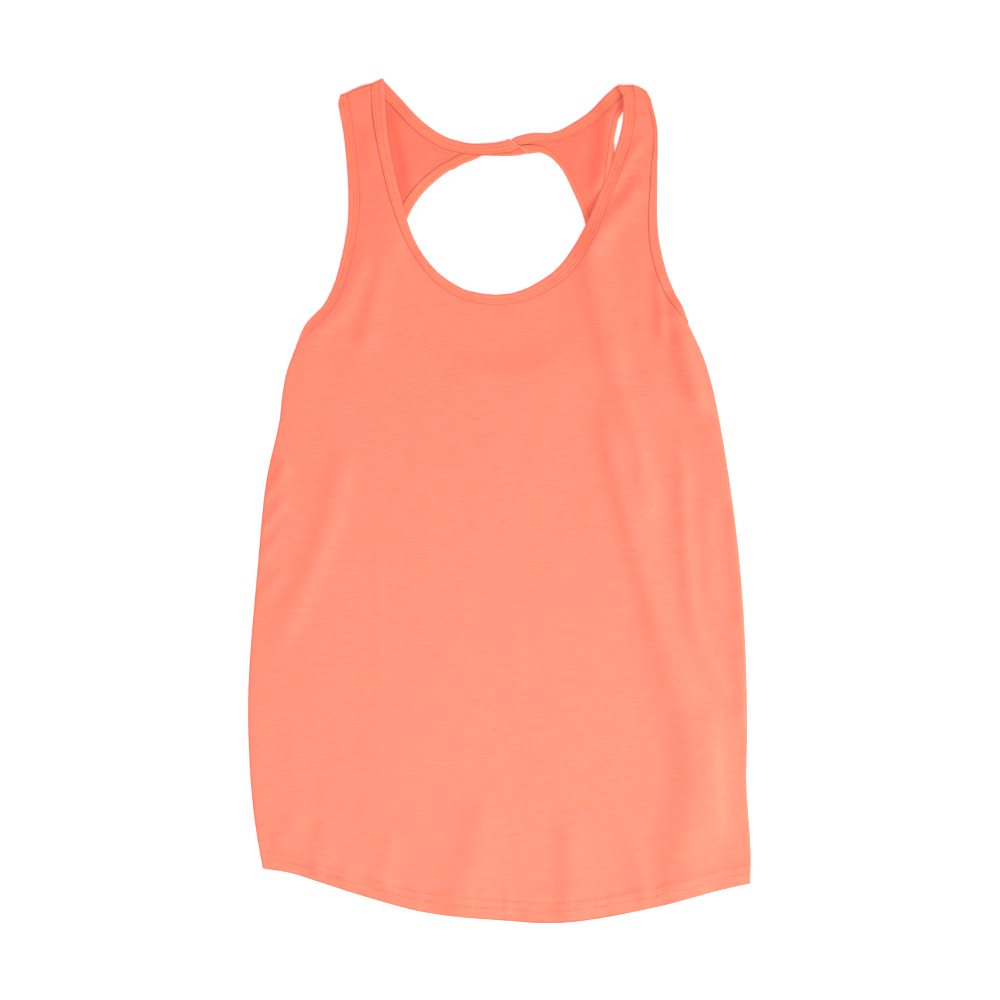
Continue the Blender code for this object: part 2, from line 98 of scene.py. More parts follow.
room = bpy.data.worlds.new("room")
room.use_nodes = True
room.node_tree.nodes["Background"].inputs["Color"].default_value = (1.0, 1.0, 1.0, 1.0)
room.node_tree.nodes["Background"].inputs["Strength"].default_value = ROOM_LIGHT
scene.world = room


def linear(hex_colour):
    """The linear colour of an sRGB hex value."""
    parts = [int(hex_colour[start : start + 2], 16) / 255 for start in (1, 3, 5)]
    return [c / 12.92 if c <= 0.04045 else ((c + 0.055) / 1.055) ** 2.4 for c in parts] + [1.0]


def add_node(tree, kind, inputs=None, **settings):
    """A shader node with its settings, and its inputs by name or number: values or other nodes' outputs."""
    made = tree.nodes.new("ShaderNode" + kind)
    for setting, value in settings.items():
        setattr(made, setting, value)
    for socket, value in (inputs or {}).items():
        if isinstance(value, bpy.types.NodeSocket):
            tree.links.new(value, made.inputs[socket])
        else:
            made.inputs[socket].default_value = value
    return made


def new_material(name):
    """A material with its node tree, its shader and the place on the object that patterns follow."""
    material = bpy.data.materials.new(name)
    material.use_nodes = True
    tree = material.node_tree
    return material, tree, tree.nodes["Principled BSDF"], add_node(tree, "TexCoord").outputs["Object"]


def table_acrylic():
    """Matt opal acrylic, faintly lit from below as a studio table is: an even white top."""
    material, tree, shader, place = new_material("opal_acrylic")
    grain = add_node(tree, "TexNoise", {"Vector": place, "Scale": GRAINS_A_METRE, "Detail": 3.0})
    rough = add_node(tree, "MapRange", {"Value": grain.outputs["Fac"], "To Min": 0.82, "To Max": 0.92})
    tree.links.new(rough.outputs["Result"], shader.inputs["Roughness"])
    shader.inputs["Base Color"].default_value = linear("#fbfaf8")
    shader.inputs["Specular IOR Level"].default_value = 0.2
    shader.inputs["Emission Color"].default_value = linear("#ffffff")
    shader.inputs["Emission Strength"].default_value = TABLE_GLOW
    return material


table_mesh = bpy.data.meshes.new("table")
bm = bmesh.new()
bmesh.ops.create_grid(bm, x_segments=1, y_segments=1, size=TABLE_HALF)
bm.to_mesh(table_mesh)
bm.free()
table_mesh.materials.append(table_acrylic())
table = bpy.data.objects.new("table", table_mesh)
scene.collection.objects.link(table)
table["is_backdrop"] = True

# ---- Front -------------------------------------------------------------------------------------------
# One panel of thin viscose slub jersey, cut with a deep scoop neck and wide armholes. Its sides are sewn to
# the back, and its hem is turned up once inside. It lies loosely, with folds down the right side.

MM = 0.001
WALL = 0.6
SEAM_LAP = 0.12
FRONT_FACE = 2.3
LOWEST_FACE = 0.7
SOFT_LANDING = 0.4

Side = namedtuple("Side", "x y")
LEFT_SIDE = (
    Side(-204.0, -316.5),
    Side(-212.0, -268.0),
    Side(-216.3, -206.0),
    Side(-216.0, -150.0),
    Side(-208.0, -52.0),
    Side(-201.0, 17.0),
    Side(-190.0, 67.0),
    Side(-187.4, 90.0),
    Side(-183.4, 111.0),
    Side(-175.5, 132.0),
)
RIGHT_SIDE = (
    Side(215.4, -329.4),
    Side(215.6, -297.0),
    Side(212.2, -245.0),
    Side(212.8, -195.0),
    Side(210.9, -120.0),
    Side(206.0, -52.0),
    Side(197.4, 17.0),
    Side(185.4, 86.0),
    Side(175.6, 122.0),
    Side(161.5, 152.5),
)
SIDE_STEPS = 90

# How far the hem drops below the straight line between its corners
HemDrop = namedtuple("HemDrop", "across front back")
HEM_CURVE = (
    HemDrop(0.0, 0.0, 0.0),
    HemDrop(24.0, 3.2, 2.7),
    HemDrop(46.0, 9.4, 8.2),
    HemDrop(92.0, 22.6, 20.0),
    HemDrop(143.0, 34.0, 31.0),
    HemDrop(210.0, 38.6, 35.0),
    HemDrop(248.0, 39.4, 35.5),
    HemDrop(289.0, 34.0, 30.5),
    HemDrop(336.0, 23.4, 21.0),
    HemDrop(390.0, 7.4, 6.5),
    HemDrop(419.0, 0.0, 0.0),
)

# Seam lines and the width of the binding outside them
Seam = namedtuple("Seam", "x y band")
FRONT_ARMHOLE_LEFT = (
    Seam(-175.5, 132.0, 0.4),
    Seam(-162.0, 147.3, 6.6),
    Seam(-145.2, 164.5, 7.4),
    Seam(-133.7, 188.3, 7.8),
    Seam(-123.4, 230.5, 8.6),
    Seam(-120.8, 262.0, 9.6),
    Seam(-124.4, 303.0, 8.6),
    Seam(-129.9, 344.8, 8.6),
)
FRONT_ARMHOLE_RIGHT = (
    Seam(161.5, 152.5, 0.4),
    Seam(152.6, 163.0, 5.5),
    Seam(143.6, 175.0, 7.6),
    Seam(133.6, 199.0, 8.6),
    Seam(127.9, 232.0, 8.0),
    Seam(129.8, 280.0, 5.6),
    Seam(132.6, 318.0, 2.8),
    Seam(126.9, 345.6, 3.6),
)
FRONT_NECK_LEFT = (
    Seam(-3.4, 168.1, 8.9),
    Seam(-20.2, 170.1, 8.8),
    Seam(-37.0, 175.5, 8.4),
    Seam(-60.0, 192.6, 7.4),
    Seam(-79.4, 220.0, 7.2),
    Seam(-93.5, 256.0, 9.2),
    Seam(-104.1, 299.3, 9.8),
    Seam(-109.2, 328.0, 11.2),
    Seam(-111.2, 351.4, 11.8),
)
FRONT_NECK_RIGHT = (
    Seam(-3.4, 168.1, 8.9),
    Seam(13.5, 170.1, 8.9),
    Seam(34.0, 177.3, 9.8),
    Seam(58.0, 193.2, 11.0),
    Seam(78.7, 222.4, 11.2),
    Seam(94.0, 258.5, 10.2),
    Seam(107.5, 294.5, 10.0),
    Seam(115.2, 323.4, 10.0),
    Seam(116.1, 347.2, 10.7),
)

# The four lines that run over each shoulder: where they cross the fold and where they end at the seam
Lane = namedtuple("Lane", "fold_x fold_y seam_x seam_y")
Shoulder = namedtuple("Shoulder", "arm_free arm_seam neck_seam neck_free")
LEFT = Shoulder(
    arm_free=Lane(-137.2, 348.6, -139.0, 341.2),
    arm_seam=Lane(-130.2, 351.4, -129.9, 344.8),
    neck_seam=Lane(-110.8, 358.5, -111.2, 351.4),
    neck_free=Lane(-100.2, 363.2, -99.2, 355.4),
)
RIGHT = Shoulder(
    arm_free=Lane(126.0, 351.6, 129.8, 345.0),
    arm_seam=Lane(121.4, 354.8, 126.2, 345.7),
    neck_seam=Lane(114.0, 357.3, 116.1, 347.2),
    neck_free=Lane(99.7, 357.0, 105.6, 348.2),
)
SHOULDER_ROLL = 2.0
SHOULDER_BOW = 0.05
LEAD = 0.12
BACK_LEAD = 0.02
SHOULDER_EASE = 45.0

# Creases: each has a crest along its path, a flank towards the key light and one in its shade
Crease = namedtuple("Crease", "height lit shaded path")
FRONT_CREASES = (
    # right side, from the neck down to the hem
    Crease(3.5, 14.0, 12.0, ((79, 266), (79, 224), (82, 182), (89, 142), (98, 100))),
    Crease(3.7, 8.0, 12.0, ((92, 156), (102, 110), (112, 70), (122, 30), (127, 0), (129, -34))),
    Crease(4.2, 14.0, 11.0, ((88, 98), (94, 60), (104, 12), (120, -47), (134, -99), (143, -142))),
    Crease(4.8, 24.0, 18.0, ((136, -84), (149, -140), (162, -196), (166, -246), (158, -300), (150, -372))),
    Crease(0.9, 5.0, 5.0, ((116, 64), (121, 36), (122, 8))),
    Crease(1.1, 5.0, 5.0, ((153, 62), (157, 34), (160, 4))),
    Crease(
        2.9, 7.0, 8.0, ((150, 56), (158, 0), (161, -50), (166, -100), (176, -132), (190, -160), (203, -184))
    ),
    Crease(1.6, 8.0, 9.0, ((176, 12), (180, -40), (183, -92))),
    Crease(2.6, 8.0, 22.0, ((179, -172), (182, -212), (185, -246), (187, -300))),
    Crease(2.0, 6.0, 7.0, ((197, 12), (202, -34), (206, -84), (208, -128))),
    Crease(1.8, 6.0, 7.0, ((206, -116), (208, -156), (207, -200))),
    # right underarm and chest
    Crease(5.6, 8.0, 12.0, ((147, 184), (154, 155), (162, 121), (170, 92), (174.5, 66))),
    Crease(1.9, 8.0, 30.0, ((154, 150), (161, 126), (167, 104), (172, 80))),
    Crease(2.2, 4.0, 6.0, ((136, 202), (137.5, 174), (139.5, 150), (141, 128))),
    Crease(2.0, 7.0, 11.0, ((174, 104), (184, 62), (191, 26), (198, -14))),
    Crease(0.8, 8.0, 7.0, ((112, 150), (128, 144), (142, 134))),
    Crease(0.7, 6.0, 6.0, ((120, 112), (130, 102), (134, 92))),
    # right strap
    Crease(2.7, 10.0, 8.0, ((70, 204), (84, 226), (98, 244), (112, 261), (124, 284))),
    Crease(1.4, 5.0, 5.0, ((84, 250), (92, 264), (108, 288), (116, 302), (128, 318))),
    Crease(1.0, 4.0, 4.0, ((112, 320), (120, 330), (124, 338))),
    # left underarm and strap
    Crease(2.0, 12.0, 9.0, ((-99, 226), (-101, 200), (-108, 172), (-114, 146), (-119, 118))),
    Crease(1.8, 8.0, 10.0, ((-112, 226), (-122, 194), (-134, 168), (-152, 149), (-170, 132))),
    Crease(0.9, 8.0, 6.0, ((-118, 330), (-112, 300), (-110, 280))),
    Crease(2.4, 8.0, 26.0, ((-104, 338), (-100, 296), (-94, 256), (-88, 220), (-85, 196))),
    Crease(0.6, 7.0, 5.0, ((-90, 212), (-84, 196), (-76, 184))),
    # left side
    Crease(2.2, 10.0, 12.0, ((-126, 62), (-138, 14), (-150, -30), (-167, -74), (-182, -104), (-200, -142))),
    Crease(1.0, 9.0, 6.0, ((-190, 44), (-188, 14), (-190, -16))),
    Crease(1.1, 5.0, 4.0, ((-182, 34), (-196, 10), (-208, -4))),
    Crease(1.0, 4.0, 4.0, ((-184, 4), (-196, -14), (-208, -30))),
    Crease(0.9, 4.0, 4.0, ((-186, -22), (-198, -40), (-211, -54))),
    Crease(0.9, 5.0, 4.0, ((-186, -58), (-200, -76), (-213, -88))),
    Crease(0.45, 5.0, 4.0, ((-106, -16), (-106, -70), (-105, -120), (-104, -168))),
    # middle of the body, first where it runs over the keyhole's lower edge
    Crease(1.1, 26.0, 17.0, ((-46, 124), (-24, 111), (5, 104), (34, 109), (56, 121))),
    Crease(0.5, 10.0, 8.0, ((18, 100), (20, 84), (16, 62))),
    Crease(0.5, 5.0, 4.0, ((36, 174), (46, 184), (52, 192))),
    Crease(0.35, 6.0, 5.0, ((12, -76), (13, -120), (16, -170))),
    Crease(0.3, 7.0, 5.0, ((-22, 24), (-24, -20), (-20, -60))),
    Crease(0.3, 6.0, 6.0, ((50, -40), (54, -90), (52, -140))),
    # hem
    Crease(2.1, 20.0, 13.0, ((-12, -250), (-18, -280), (-32, -330), (-40, -372))),
    Crease(2.3, 15.0, 12.0, ((60, -262), (61, -296), (62, -336), (60, -384))),
    Crease(0.9, 10.0, 7.0, ((-92, -280), (-98, -310), (-108, -340))),
    Crease(1.0, 8.0, 9.0, ((-200, -296), (-184, -288), (-172, -262))),
    Crease(0.9, 9.0, 7.0, ((-150, -270), (-154, -300), (-160, -330))),
    Crease(1.0, 9.0, 7.0, ((112, -290), (120, -320), (124, -350))),
)
CREASE_REACH = 3.0
CREASE_FADE = 0.22
CREASE_STEPS = 24

# Soft unevenness between the creases: noise with a size across, a size along and a height
Swell = namedtuple("Swell", "across along height seed")
FRONT_SWELLS = (Swell(64.0, 120.0, 0.7, 3.7), Swell(23.0, 52.0, 0.22, 9.1), Swell(9.0, 15.0, 0.05, 5.3))

# Where the front sags into the keyhole of the back: its lower edge is an arc
KEYHOLE_BOTTOM = (4.7, 101.4)
KEYHOLE_RADIUS = 84.0
KEYHOLE_SAG = 2.2
KEYHOLE_BAND = 8.6
KEYHOLE_EDGE = 34.0
KEYHOLE_ROUND = 0.86
KEYHOLE_LEVEL = 26.0
KEYHOLE_RISE = 44.0
KEYHOLE_SHALLOWER = 0.8

# Hem: an allowance turned up inside, caught by two rows of stitches on the outside
HEM_ALLOWANCE = 16.0
HEM_ROLL = 0.75
HEM_STACK = 1.5
HEM_EDGE_STEP = 0.45
HEM_EDGE_SLOPE = 2.5
HEM_EASE = 20.0
HEM_ROWS = (9.0, 15.4)
HEM_GROOVE = 0.08
HEM_GROOVE_WIDTH = 0.75
HEM_PUCKERS = (Swell(6.5, 30.0, 0.55, 1.7), Swell(30.0, 9.0, 1.1, 7.3))
HEM_WAVES = (Swell(15.0, 1.0, 0.33, 2.9),)
HEM_WAVE_LINE = 4.0
HEM_PUCKER_TOP = 18.0
HEM_PUCKER_FADE = 14.0

SIDE_ROLL = 1.9
SIDE_DROP = 1.0
SEAM_TURN = 0.2
SEAM_TURN_WIDTH = 1.2
SEAM_TURN_ROWS = 6
SHOULDER_TURN = 0.03
SEAM_SHARES = (0.3, 0.6, 0.96, 1.0)
EDGE_SHARES = (0.12, 0.3, 0.58)
SHARED_EDGE = 0.01 * MM
GRID_DIGITS = 5
NO_SHOULDER = 1000.0


def smooth_rows(rows, count, by_first=False):
    """count + 1 rows on a smooth curve through a table's rows, even along it or in the first column."""
    places = [0.0]
    for before, after in zip(rows, rows[1:]):
        places.append(places[-1] + (after[0] - before[0] if by_first else math.dist(before, after)))

    def slope_at(index, column):
        low, high = max(index - 1, 0), min(index + 1, len(rows) - 1)
        return (rows[high][column] - rows[low][column]) / (places[high] - places[low])

    sampled = []
    span = 0
    for step in range(count + 1):
        place = places[-1] * step / count
        while span < len(rows) - 2 and places[span + 1] <= place:
            span += 1
        length = places[span + 1] - places[span]
        t = (place - places[span]) / length
        row = []
        for column in range(len(rows[0])):
            a, b = rows[span][column], rows[span + 1][column]
            rise_a, rise_b = slope_at(span, column) * length, slope_at(span + 1, column) * length
            bend_a, bend_b = rise_a - (b - a), (b - a) - rise_b
            row.append(a + (b - a) * t + t * (1 - t) * (bend_a * (1 - t) + bend_b * t))
        sampled.append(row)
    return sampled


def ease(t):
    t = min(max(t, 0.0), 1.0)
    return t * t * (3 - 2 * t)


def mix(a, b, t):
    return tuple((1 - t) * p + t * q for p, q in zip(a, b))


def read_line(points, v):
    """The point at the fraction v of a line of evenly spaced points."""
    place = min(max(v, 0.0), 1.0) * (len(points) - 1)
    index = min(int(place), len(points) - 2)
    return mix(points[index], points[index + 1], place - index)


def traced(creases):
    """Each crease with its path as short straight steps and the box that it reaches."""
    found = []
    for crease in creases:
        line = smooth_rows([(float(x), float(y)) for x, y in crease.path], CREASE_STEPS)
        reach = CREASE_REACH * max(crease.lit, crease.shaded)
        xs, ys = [p[0] for p in line], [p[1] for p in line]
        box = (min(xs) - reach, max(xs) + reach, min(ys) - reach, max(ys) + reach)
        found.append((crease, line, box))
    return found


# The key light's direction on the table
LIGHT_X = 0.88
LIGHT_Y = -0.47


def relief(creases, x, y):
    """The height that traced creases give a place: a rounded crest that runs out at both ends."""
    total = 0.0
    for crease, line, (low_x, high_x, low_y, high_y) in creases:
        if not (low_x < x < high_x and low_y < y < high_y):
            continue
        nearest, where, side = math.inf, 0.0, 0.0
        for step in range(CREASE_STEPS):
            (ax, ay), (bx, by) = line[step], line[step + 1]
            dx, dy = bx - ax, by - ay
            t = ((x - ax) * dx + (y - ay) * dy) / (dx * dx + dy * dy)
            t = min(max(t, 0.0), 1.0)
            off_x, off_y = x - ax - t * dx, y - ay - t * dy
            away = off_x * off_x + off_y * off_y
            if away < nearest:
                nearest, where = away, (step + t) / CREASE_STEPS
                side = off_x * LIGHT_X + off_y * LIGHT_Y
        flank = crease.lit if side > 0 else crease.shaded
        fade = ease(min(where, 1 - where) / CREASE_FADE)
        total += crease.height * fade * math.exp(-nearest / (flank * flank))
    return total


def swell(swells, x, y):
    return sum(s.height * noise.noise(Vector((x / s.across, y / s.along, s.seed))) for s in swells)


def spread(count):
    """Fractions from 0 to 1 in even cells, with the first and last cell cut finer for a rolled edge."""
    even = [i / count for i in range(count + 1)]
    near = [share / count for share in EDGE_SHARES]
    return sorted(even + near + [1 - t for t in near])


def both_halves(half):
    """One half's fractions on both sides of the middle."""
    return [t / 2 for t in half] + [0.5 + t / 2 for t in half[1:]]


front_creases = traced(FRONT_CREASES)


def sag(x, y):
    """How far the front sinks into the keyhole under it."""
    centre_y = KEYHOLE_BOTTOM[1] + KEYHOLE_RADIUS
    aside = abs(x - KEYHOLE_BOTTOM[0])
    inside = KEYHOLE_RADIUS - math.hypot(aside * KEYHOLE_ROUND, min(y - centre_y, 0.0))
    sunk = min(max((inside - KEYHOLE_BAND) / KEYHOLE_EDGE, 0.0), 1.0)
    shallower = KEYHOLE_SHALLOWER * ease((aside - KEYHOLE_LEVEL) / KEYHOLE_RISE)
    return KEYHOLE_SAG * (1 - (1 - sunk) ** 2) * (1 - shallower)


def front_height(x, y, shoulder_y):
    """The outer face of the front in millimetres: its folds, and its rise to the shoulder seam. Where it
    sinks furthest it comes to rest on the table."""
    near = (shoulder_y - y) / SHOULDER_EASE
    lift = (2 * SHOULDER_ROLL - FRONT_FACE) * ease(1 - near)
    loose = relief(front_creases, x, y) + swell(FRONT_SWELLS, x, y) - sag(x, y)
    clear = FRONT_FACE + lift + ease(near) * loose - LOWEST_FACE
    return LOWEST_FACE + (clear + math.hypot(clear, SOFT_LANDING)) / 2


def outward(shoulder):
    """The direction square to a shoulder's fold, away from the body."""
    arm, neck = shoulder.arm_free, shoulder.neck_free
    along = Vector((neck.fold_x - arm.fold_x, neck.fold_y - arm.fold_y)).normalized()
    return Vector((-along.y, along.x)) if along.x > 0 else Vector((along.y, -along.x))


def shoulder_level(shoulder):
    return (shoulder.arm_seam.seam_y + shoulder.neck_seam.seam_y) / 2


def led_to(points, end, share):
    """The line of points with the last share of it eased over to a new end."""
    shift = Vector(end) - Vector(points[-1])
    last = len(points) - 1
    eased = [ease(1 - (last - i) / (share * last)) for i in range(len(points))]
    return [tuple(Vector(point) + shift * moved) for point, moved in zip(points, eased)]


def front_edge(table, lane, count):
    """One seam line of the front, up to the shoulder seam, and its binding's widths."""
    rows = smooth_rows(table, count)
    points = led_to([(x, y) for x, y, band in rows], (lane.seam_x, lane.seam_y), LEAD)
    return points, [band for x, y, band in rows]


def side_line(table, top_y):
    """One side edge from the hem up to a height, as evenly spaced points."""
    whole = smooth_rows(table, SIDE_STEPS)
    points = [tuple(point) for point in whole if point[1] < top_y]
    last, ahead = Vector(points[-1]), Vector(whole[min(len(points), SIDE_STEPS)])
    points.append(tuple(last.lerp(ahead, (top_y - last.y) / (ahead.y - last.y))))
    return points


def outline_rows(drops, fractions, distances, left, middle, right):
    """Flat rows of a body panel, each at a distance from the hem, ending on the line left-middle-right."""
    left_side, right_side = side_line(LEFT_SIDE, left[1]), side_line(RIGHT_SIDE, right[1])
    drops = [read_line([(drop,) for across, drop in drops], t)[0] for t in fractions]
    height = left[1] - left_side[0][1]
    chord = mix(left_side[-1], right_side[-1], 0.5)
    shift, bulge = middle[0] - chord[0], middle[1] - chord[1]
    rows = []
    for distance in distances:
        v = distance / height
        start, end = read_line(left_side, v), read_line(right_side, v)
        row = []
        for t, drop in zip(fractions, drops):
            x, y = mix(start, end, t)
            peak = 1 - abs(2 * t - 1)
            row.append((x + shift * peak * v, y - drop * (1 - v) + bulge * peak * v * v))
        rows.append(row)
    return rows


def hem_shape(x, distance):
    """The stitched hem's own form on a panel's face: a shallow groove at each row and small puckers."""
    groove = sum(math.exp(-(((distance - row) / HEM_GROOVE_WIDTH) ** 2)) for row in HEM_ROWS)
    pucker = swell(HEM_PUCKERS, x, distance) + swell(HEM_WAVES, x, HEM_WAVE_LINE)
    return pucker * ease(1 - (distance - HEM_PUCKER_TOP) / HEM_PUCKER_FADE) - HEM_GROOVE * groove


def side_drop(t, width):
    """How far a face rolls over towards its side seam."""
    near = min(t, 1 - t) * width / SIDE_ROLL
    return SIDE_DROP * (1 - math.sqrt(1 - (1 - near) ** 2)) if near < 1 else 0.0


def add_patch(bm, rows):
    """A four-sided sheet through rows of points, made as a grid whose vertices move to those points."""
    columns = len(rows[0]) - 1
    grid = bmesh.ops.create_grid(bm, x_segments=columns, y_segments=len(rows) - 1, size=1.0)
    ordered = sorted(grid["verts"], key=lambda v: (round(v.co.y, GRID_DIGITS), round(v.co.x, GRID_DIGITS)))
    for index, vertex in enumerate(ordered):
        vertex.co = Vector(rows[index // (columns + 1)][index % (columns + 1)]) * MM
    return ordered


def lay_uv(bm, ordered, uv_rows):
    """Gives a patch its UV map from rows of (u, v) like the rows of its points."""
    uv = bm.loops.layers.uv.verify()
    width = len(uv_rows[0])
    place = {vertex: divmod(index, width) for index, vertex in enumerate(ordered)}
    for vertex in ordered:
        for corner in vertex.link_loops:
            row, column = place[vertex]
            corner[uv].uv = uv_rows[row][column]


def make_piece(name, bm, material, nodes=()):
    """The bmesh as a smooth piece that moves with the garment and stands for the CAD nodes named."""
    mesh = bpy.data.meshes.new(name)
    bm.to_mesh(mesh)
    bm.free()
    mesh.shade_smooth()
    mesh.materials.append(material)
    piece = bpy.data.objects.new(name, mesh)
    scene.collection.objects.link(piece)
    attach(piece, "root")
    if nodes:
        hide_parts(*nodes)
    return piece


def add_wall(piece, thickness):
    """The cloth's thickness, grown from its outer face to the inside."""
    wall = piece.modifiers.new("wall", "SOLIDIFY")
    wall.thickness = thickness * MM
    wall.offset = -1.0
    wall.use_even_offset = False
    wall.material_offset = 1


def panel(name, body, levels, straps, face_up, nodes):
    """A cut panel: its outer face from a body and two straps that share an edge, then its wall. Its UV map
    holds x and the distance from the hem or, on a strap, SEAM_LEVEL and the distance past the seam."""
    bm = bmesh.new()
    ordered = add_patch(bm, body)
    lay_uv(bm, ordered, [[(point[0], level) for point in row] for row, level in zip(body, levels)])
    for rows, shoulder in zip(straps, (LEFT, RIGHT)):
        out, seam = outward(shoulder), shoulder.arm_seam
        origin = SEAM_LEVEL - out.dot(Vector((seam.seam_x, seam.seam_y)))
        ordered = add_patch(bm, rows)
        lay_uv(bm, ordered, [[(x, origin + out.x * x + out.y * y) for x, y, z in row] for row in rows])
    bmesh.ops.remove_doubles(bm, verts=bm.verts, dist=SHARED_EDGE)
    if not face_up:
        bmesh.ops.reverse_faces(bm, faces=bm.faces)
    piece = make_piece(name, bm, viscose_jersey, nodes)
    piece.data.materials.append(jersey_reverse_painted_shade)
    add_wall(piece, WALL)
    return piece


# Jersey: soft coral viscose with short darker slubs along the courses and a faint mottle. Each tint takes the
# colour towards a shade, from one strength to another while a value goes from its start to its end
Tint = namedtuple("Tint", "shade start end first last")
CORAL = "#f8745d"
SLUB_TINT = Tint("#ee5f49", 0.56, 0.74, 0.0, 0.7)
PALE_TINT = Tint("#fb816c", 0.4, 0.72, 0.0, 0.45)
WARM_TINT = Tint("#fb7b58", 0.46, 0.7, 0.0, 0.2)
SLUB_LENGTH = 7.5
SLUB_WIDTH = 0.9
MOTTLE_LENGTH = 16.0
MOTTLE_WIDTH = 3.2
CLOUD_SIZE = 24.0
WALE = 1.2
WALE_RELIEF = 0.35
BUMP_HEIGHT = 0.16
WAVE_TURN = 20.0


def tinted(tree, colour, value, tint, ramp="LINEAR"):
    """The colour taken towards a tint's shade by how far a value has come between its start and end."""
    limits = {"From Min": tint.start, "From Max": tint.end, "To Min": tint.first, "To Max": tint.last}
    share = add_node(tree, "MapRange", {"Value": value, **limits}, interpolation_type=ramp).outputs[0]
    return add_node(tree, "Mix", {0: share, 6: colour, 7: linear(tint.shade)}, data_type="RGBA").outputs[2]


def jersey_ground(tree, place):
    """The jersey's colour and relief: slubs along the courses, a faint mottle and fine wales."""
    stretch = (1000 / SLUB_LENGTH, 1000 / SLUB_WIDTH, 1000 / SLUB_LENGTH)
    along = add_node(tree, "Mapping", {"Vector": place, "Scale": stretch}).outputs["Vector"]
    slub = add_node(tree, "TexNoise", {"Vector": along, "Scale": 1.0, "Detail": 3.0, "Roughness": 0.62})
    spread_out = (1000 / MOTTLE_LENGTH, 1000 / MOTTLE_WIDTH, 1000 / MOTTLE_LENGTH)
    patches = add_node(tree, "Mapping", {"Vector": place, "Scale": spread_out}).outputs["Vector"]
    mottle = add_node(tree, "TexNoise", {"Vector": patches, "Scale": 1.0, "Detail": 4.0, "Roughness": 0.65})
    cloud = add_node(tree, "TexNoise", {"Vector": place, "Scale": 1000 / CLOUD_SIZE, "Detail": 3.0})
    colour = tinted(tree, linear(CORAL), mottle.outputs["Fac"], PALE_TINT)
    colour = tinted(tree, colour, cloud.outputs["Fac"], WARM_TINT)
    colour = tinted(tree, colour, slub.outputs["Fac"], SLUB_TINT)
    turns = math.tau / (WAVE_TURN * WALE * MM)
    wales = add_node(tree, "TexWave", {"Vector": place, "Scale": turns, "Distortion": 1.5})
    raised = {0: wales.outputs["Fac"], 1: WALE_RELIEF, 2: slub.outputs["Fac"]}
    return colour, add_node(tree, "Math", raised, operation="MULTIPLY_ADD").outputs[0]


def soft_jersey(name, colour_of):
    """Viscose slub jersey: matt and soft, with a faint sheen where it turns away and fine upright wales.
    colour_of(tree, colour) adds what is sewn into it."""
    material, tree, shader, place = new_material(name)
    colour, height = jersey_ground(tree, place)
    colour = colour_of(tree, colour)
    bump = add_node(tree, "Bump", {"Height": height, "Strength": 0.5, "Distance": BUMP_HEIGHT * MM})
    tree.links.new(colour, shader.inputs["Base Color"])
    tree.links.new(bump.outputs["Normal"], shader.inputs["Normal"])
    shader.inputs["Roughness"].default_value = 0.62
    shader.inputs["Specular IOR Level"].default_value = 0.35
    shader.inputs["Sheen Weight"].default_value = 0.2
    shader.inputs["Sheen Roughness"].default_value = 0.45
    shader.inputs["Sheen Tint"].default_value = linear("#ffd2c2")
    return material


PITCH = 2.1
HEM_PITCH = 2.8
# Painted shade: the dark colour that stands for the shade inside each needle hole
HOLE_PAINTED_SHADE = "#a63c28"
HOLE_SIZE = 0.55
# Shares of a pitch from a stitch's middle, and of a hole's size from its row
HOLE_STARTS = 0.26
HOLE_FULL = 0.42
HOLE_CORE = 0.6
HOLE_RIM = 1.3
PATCH_SCALE = 0.06
PATCH_SPAN = (0.38, 0.6)
SEAM_LEVEL = 900.0
SHOULDER_ROWS_OUT = (0.8, 4.6)
STITCHED = "#fb7e54"
# Multiplied over the reverse face: partly the purl side's deeper tone, partly painted shade
REVERSE_PAINTED_SHADE = "#ffeeec"
# By the distance in mm from the middle of a shoulder seam's two rows
SEAM_STRIP = Tint(STITCHED, 1.8, 3.4, 0.48, 0.0)


def apart(tree, value, other):
    """How far a value is from a fixed one."""
    difference = add_node(tree, "Math", {0: value, 1: other}, operation="SUBTRACT").outputs[0]
    return add_node(tree, "Math", {0: difference}, operation="ABSOLUTE").outputs[0]


def needle_hole_shade(tree, colour, run, across, row, size, strength, pitch):
    """The colour with painted shade for a row of needle holes at the place row across, one for each stitch
    along run: dark dots where each hole lies in shade.
    """
    turns = add_node(tree, "Math", {0: run, 1: 1 / pitch}, operation="MULTIPLY").outputs[0]
    phase = add_node(tree, "Math", {0: turns}, operation="FRACT").outputs[0]
    ends = {"From Min": HOLE_STARTS, "From Max": HOLE_FULL, "To Max": strength}
    ends["Value"] = apart(tree, phase, 0.5)
    end = add_node(tree, "MapRange", ends, interpolation_type="SMOOTHSTEP").outputs[0]
    sides = {"From Min": size * HOLE_CORE, "From Max": size * HOLE_RIM, "To Min": 1.0, "To Max": 0.0}
    sides["Value"] = apart(tree, across, row)
    line = add_node(tree, "MapRange", sides, interpolation_type="SMOOTHSTEP").outputs[0]
    hole = add_node(tree, "Math", {0: end, 1: line}, operation="MULTIPLY").outputs[0]
    return add_node(tree, "Mix", {0: hole, 6: colour, 7: linear(HOLE_PAINTED_SHADE)}, data_type="RGBA").outputs[2]


def patchy(tree, uv, least, most):
    """How strongly the needle holes' painted shade shows, which varies along a row as the thread pulls more
    or less.
    """
    pull = add_node(tree, "TexNoise", {"Vector": uv, "Scale": PATCH_SCALE, "Detail": 1.0}).outputs["Fac"]
    limits = {"From Min": PATCH_SPAN[0], "From Max": PATCH_SPAN[1], "To Min": least, "To Max": most}
    return add_node(tree, "MapRange", {"Value": pull, **limits}).outputs[0]


def seam_map(tree):
    """The piece's UV map, whole and as its two parts."""
    uv = add_node(tree, "UVMap").outputs[0]
    parts = add_node(tree, "SeparateXYZ", {0: uv})
    return uv, parts.outputs["X"], parts.outputs["Y"]


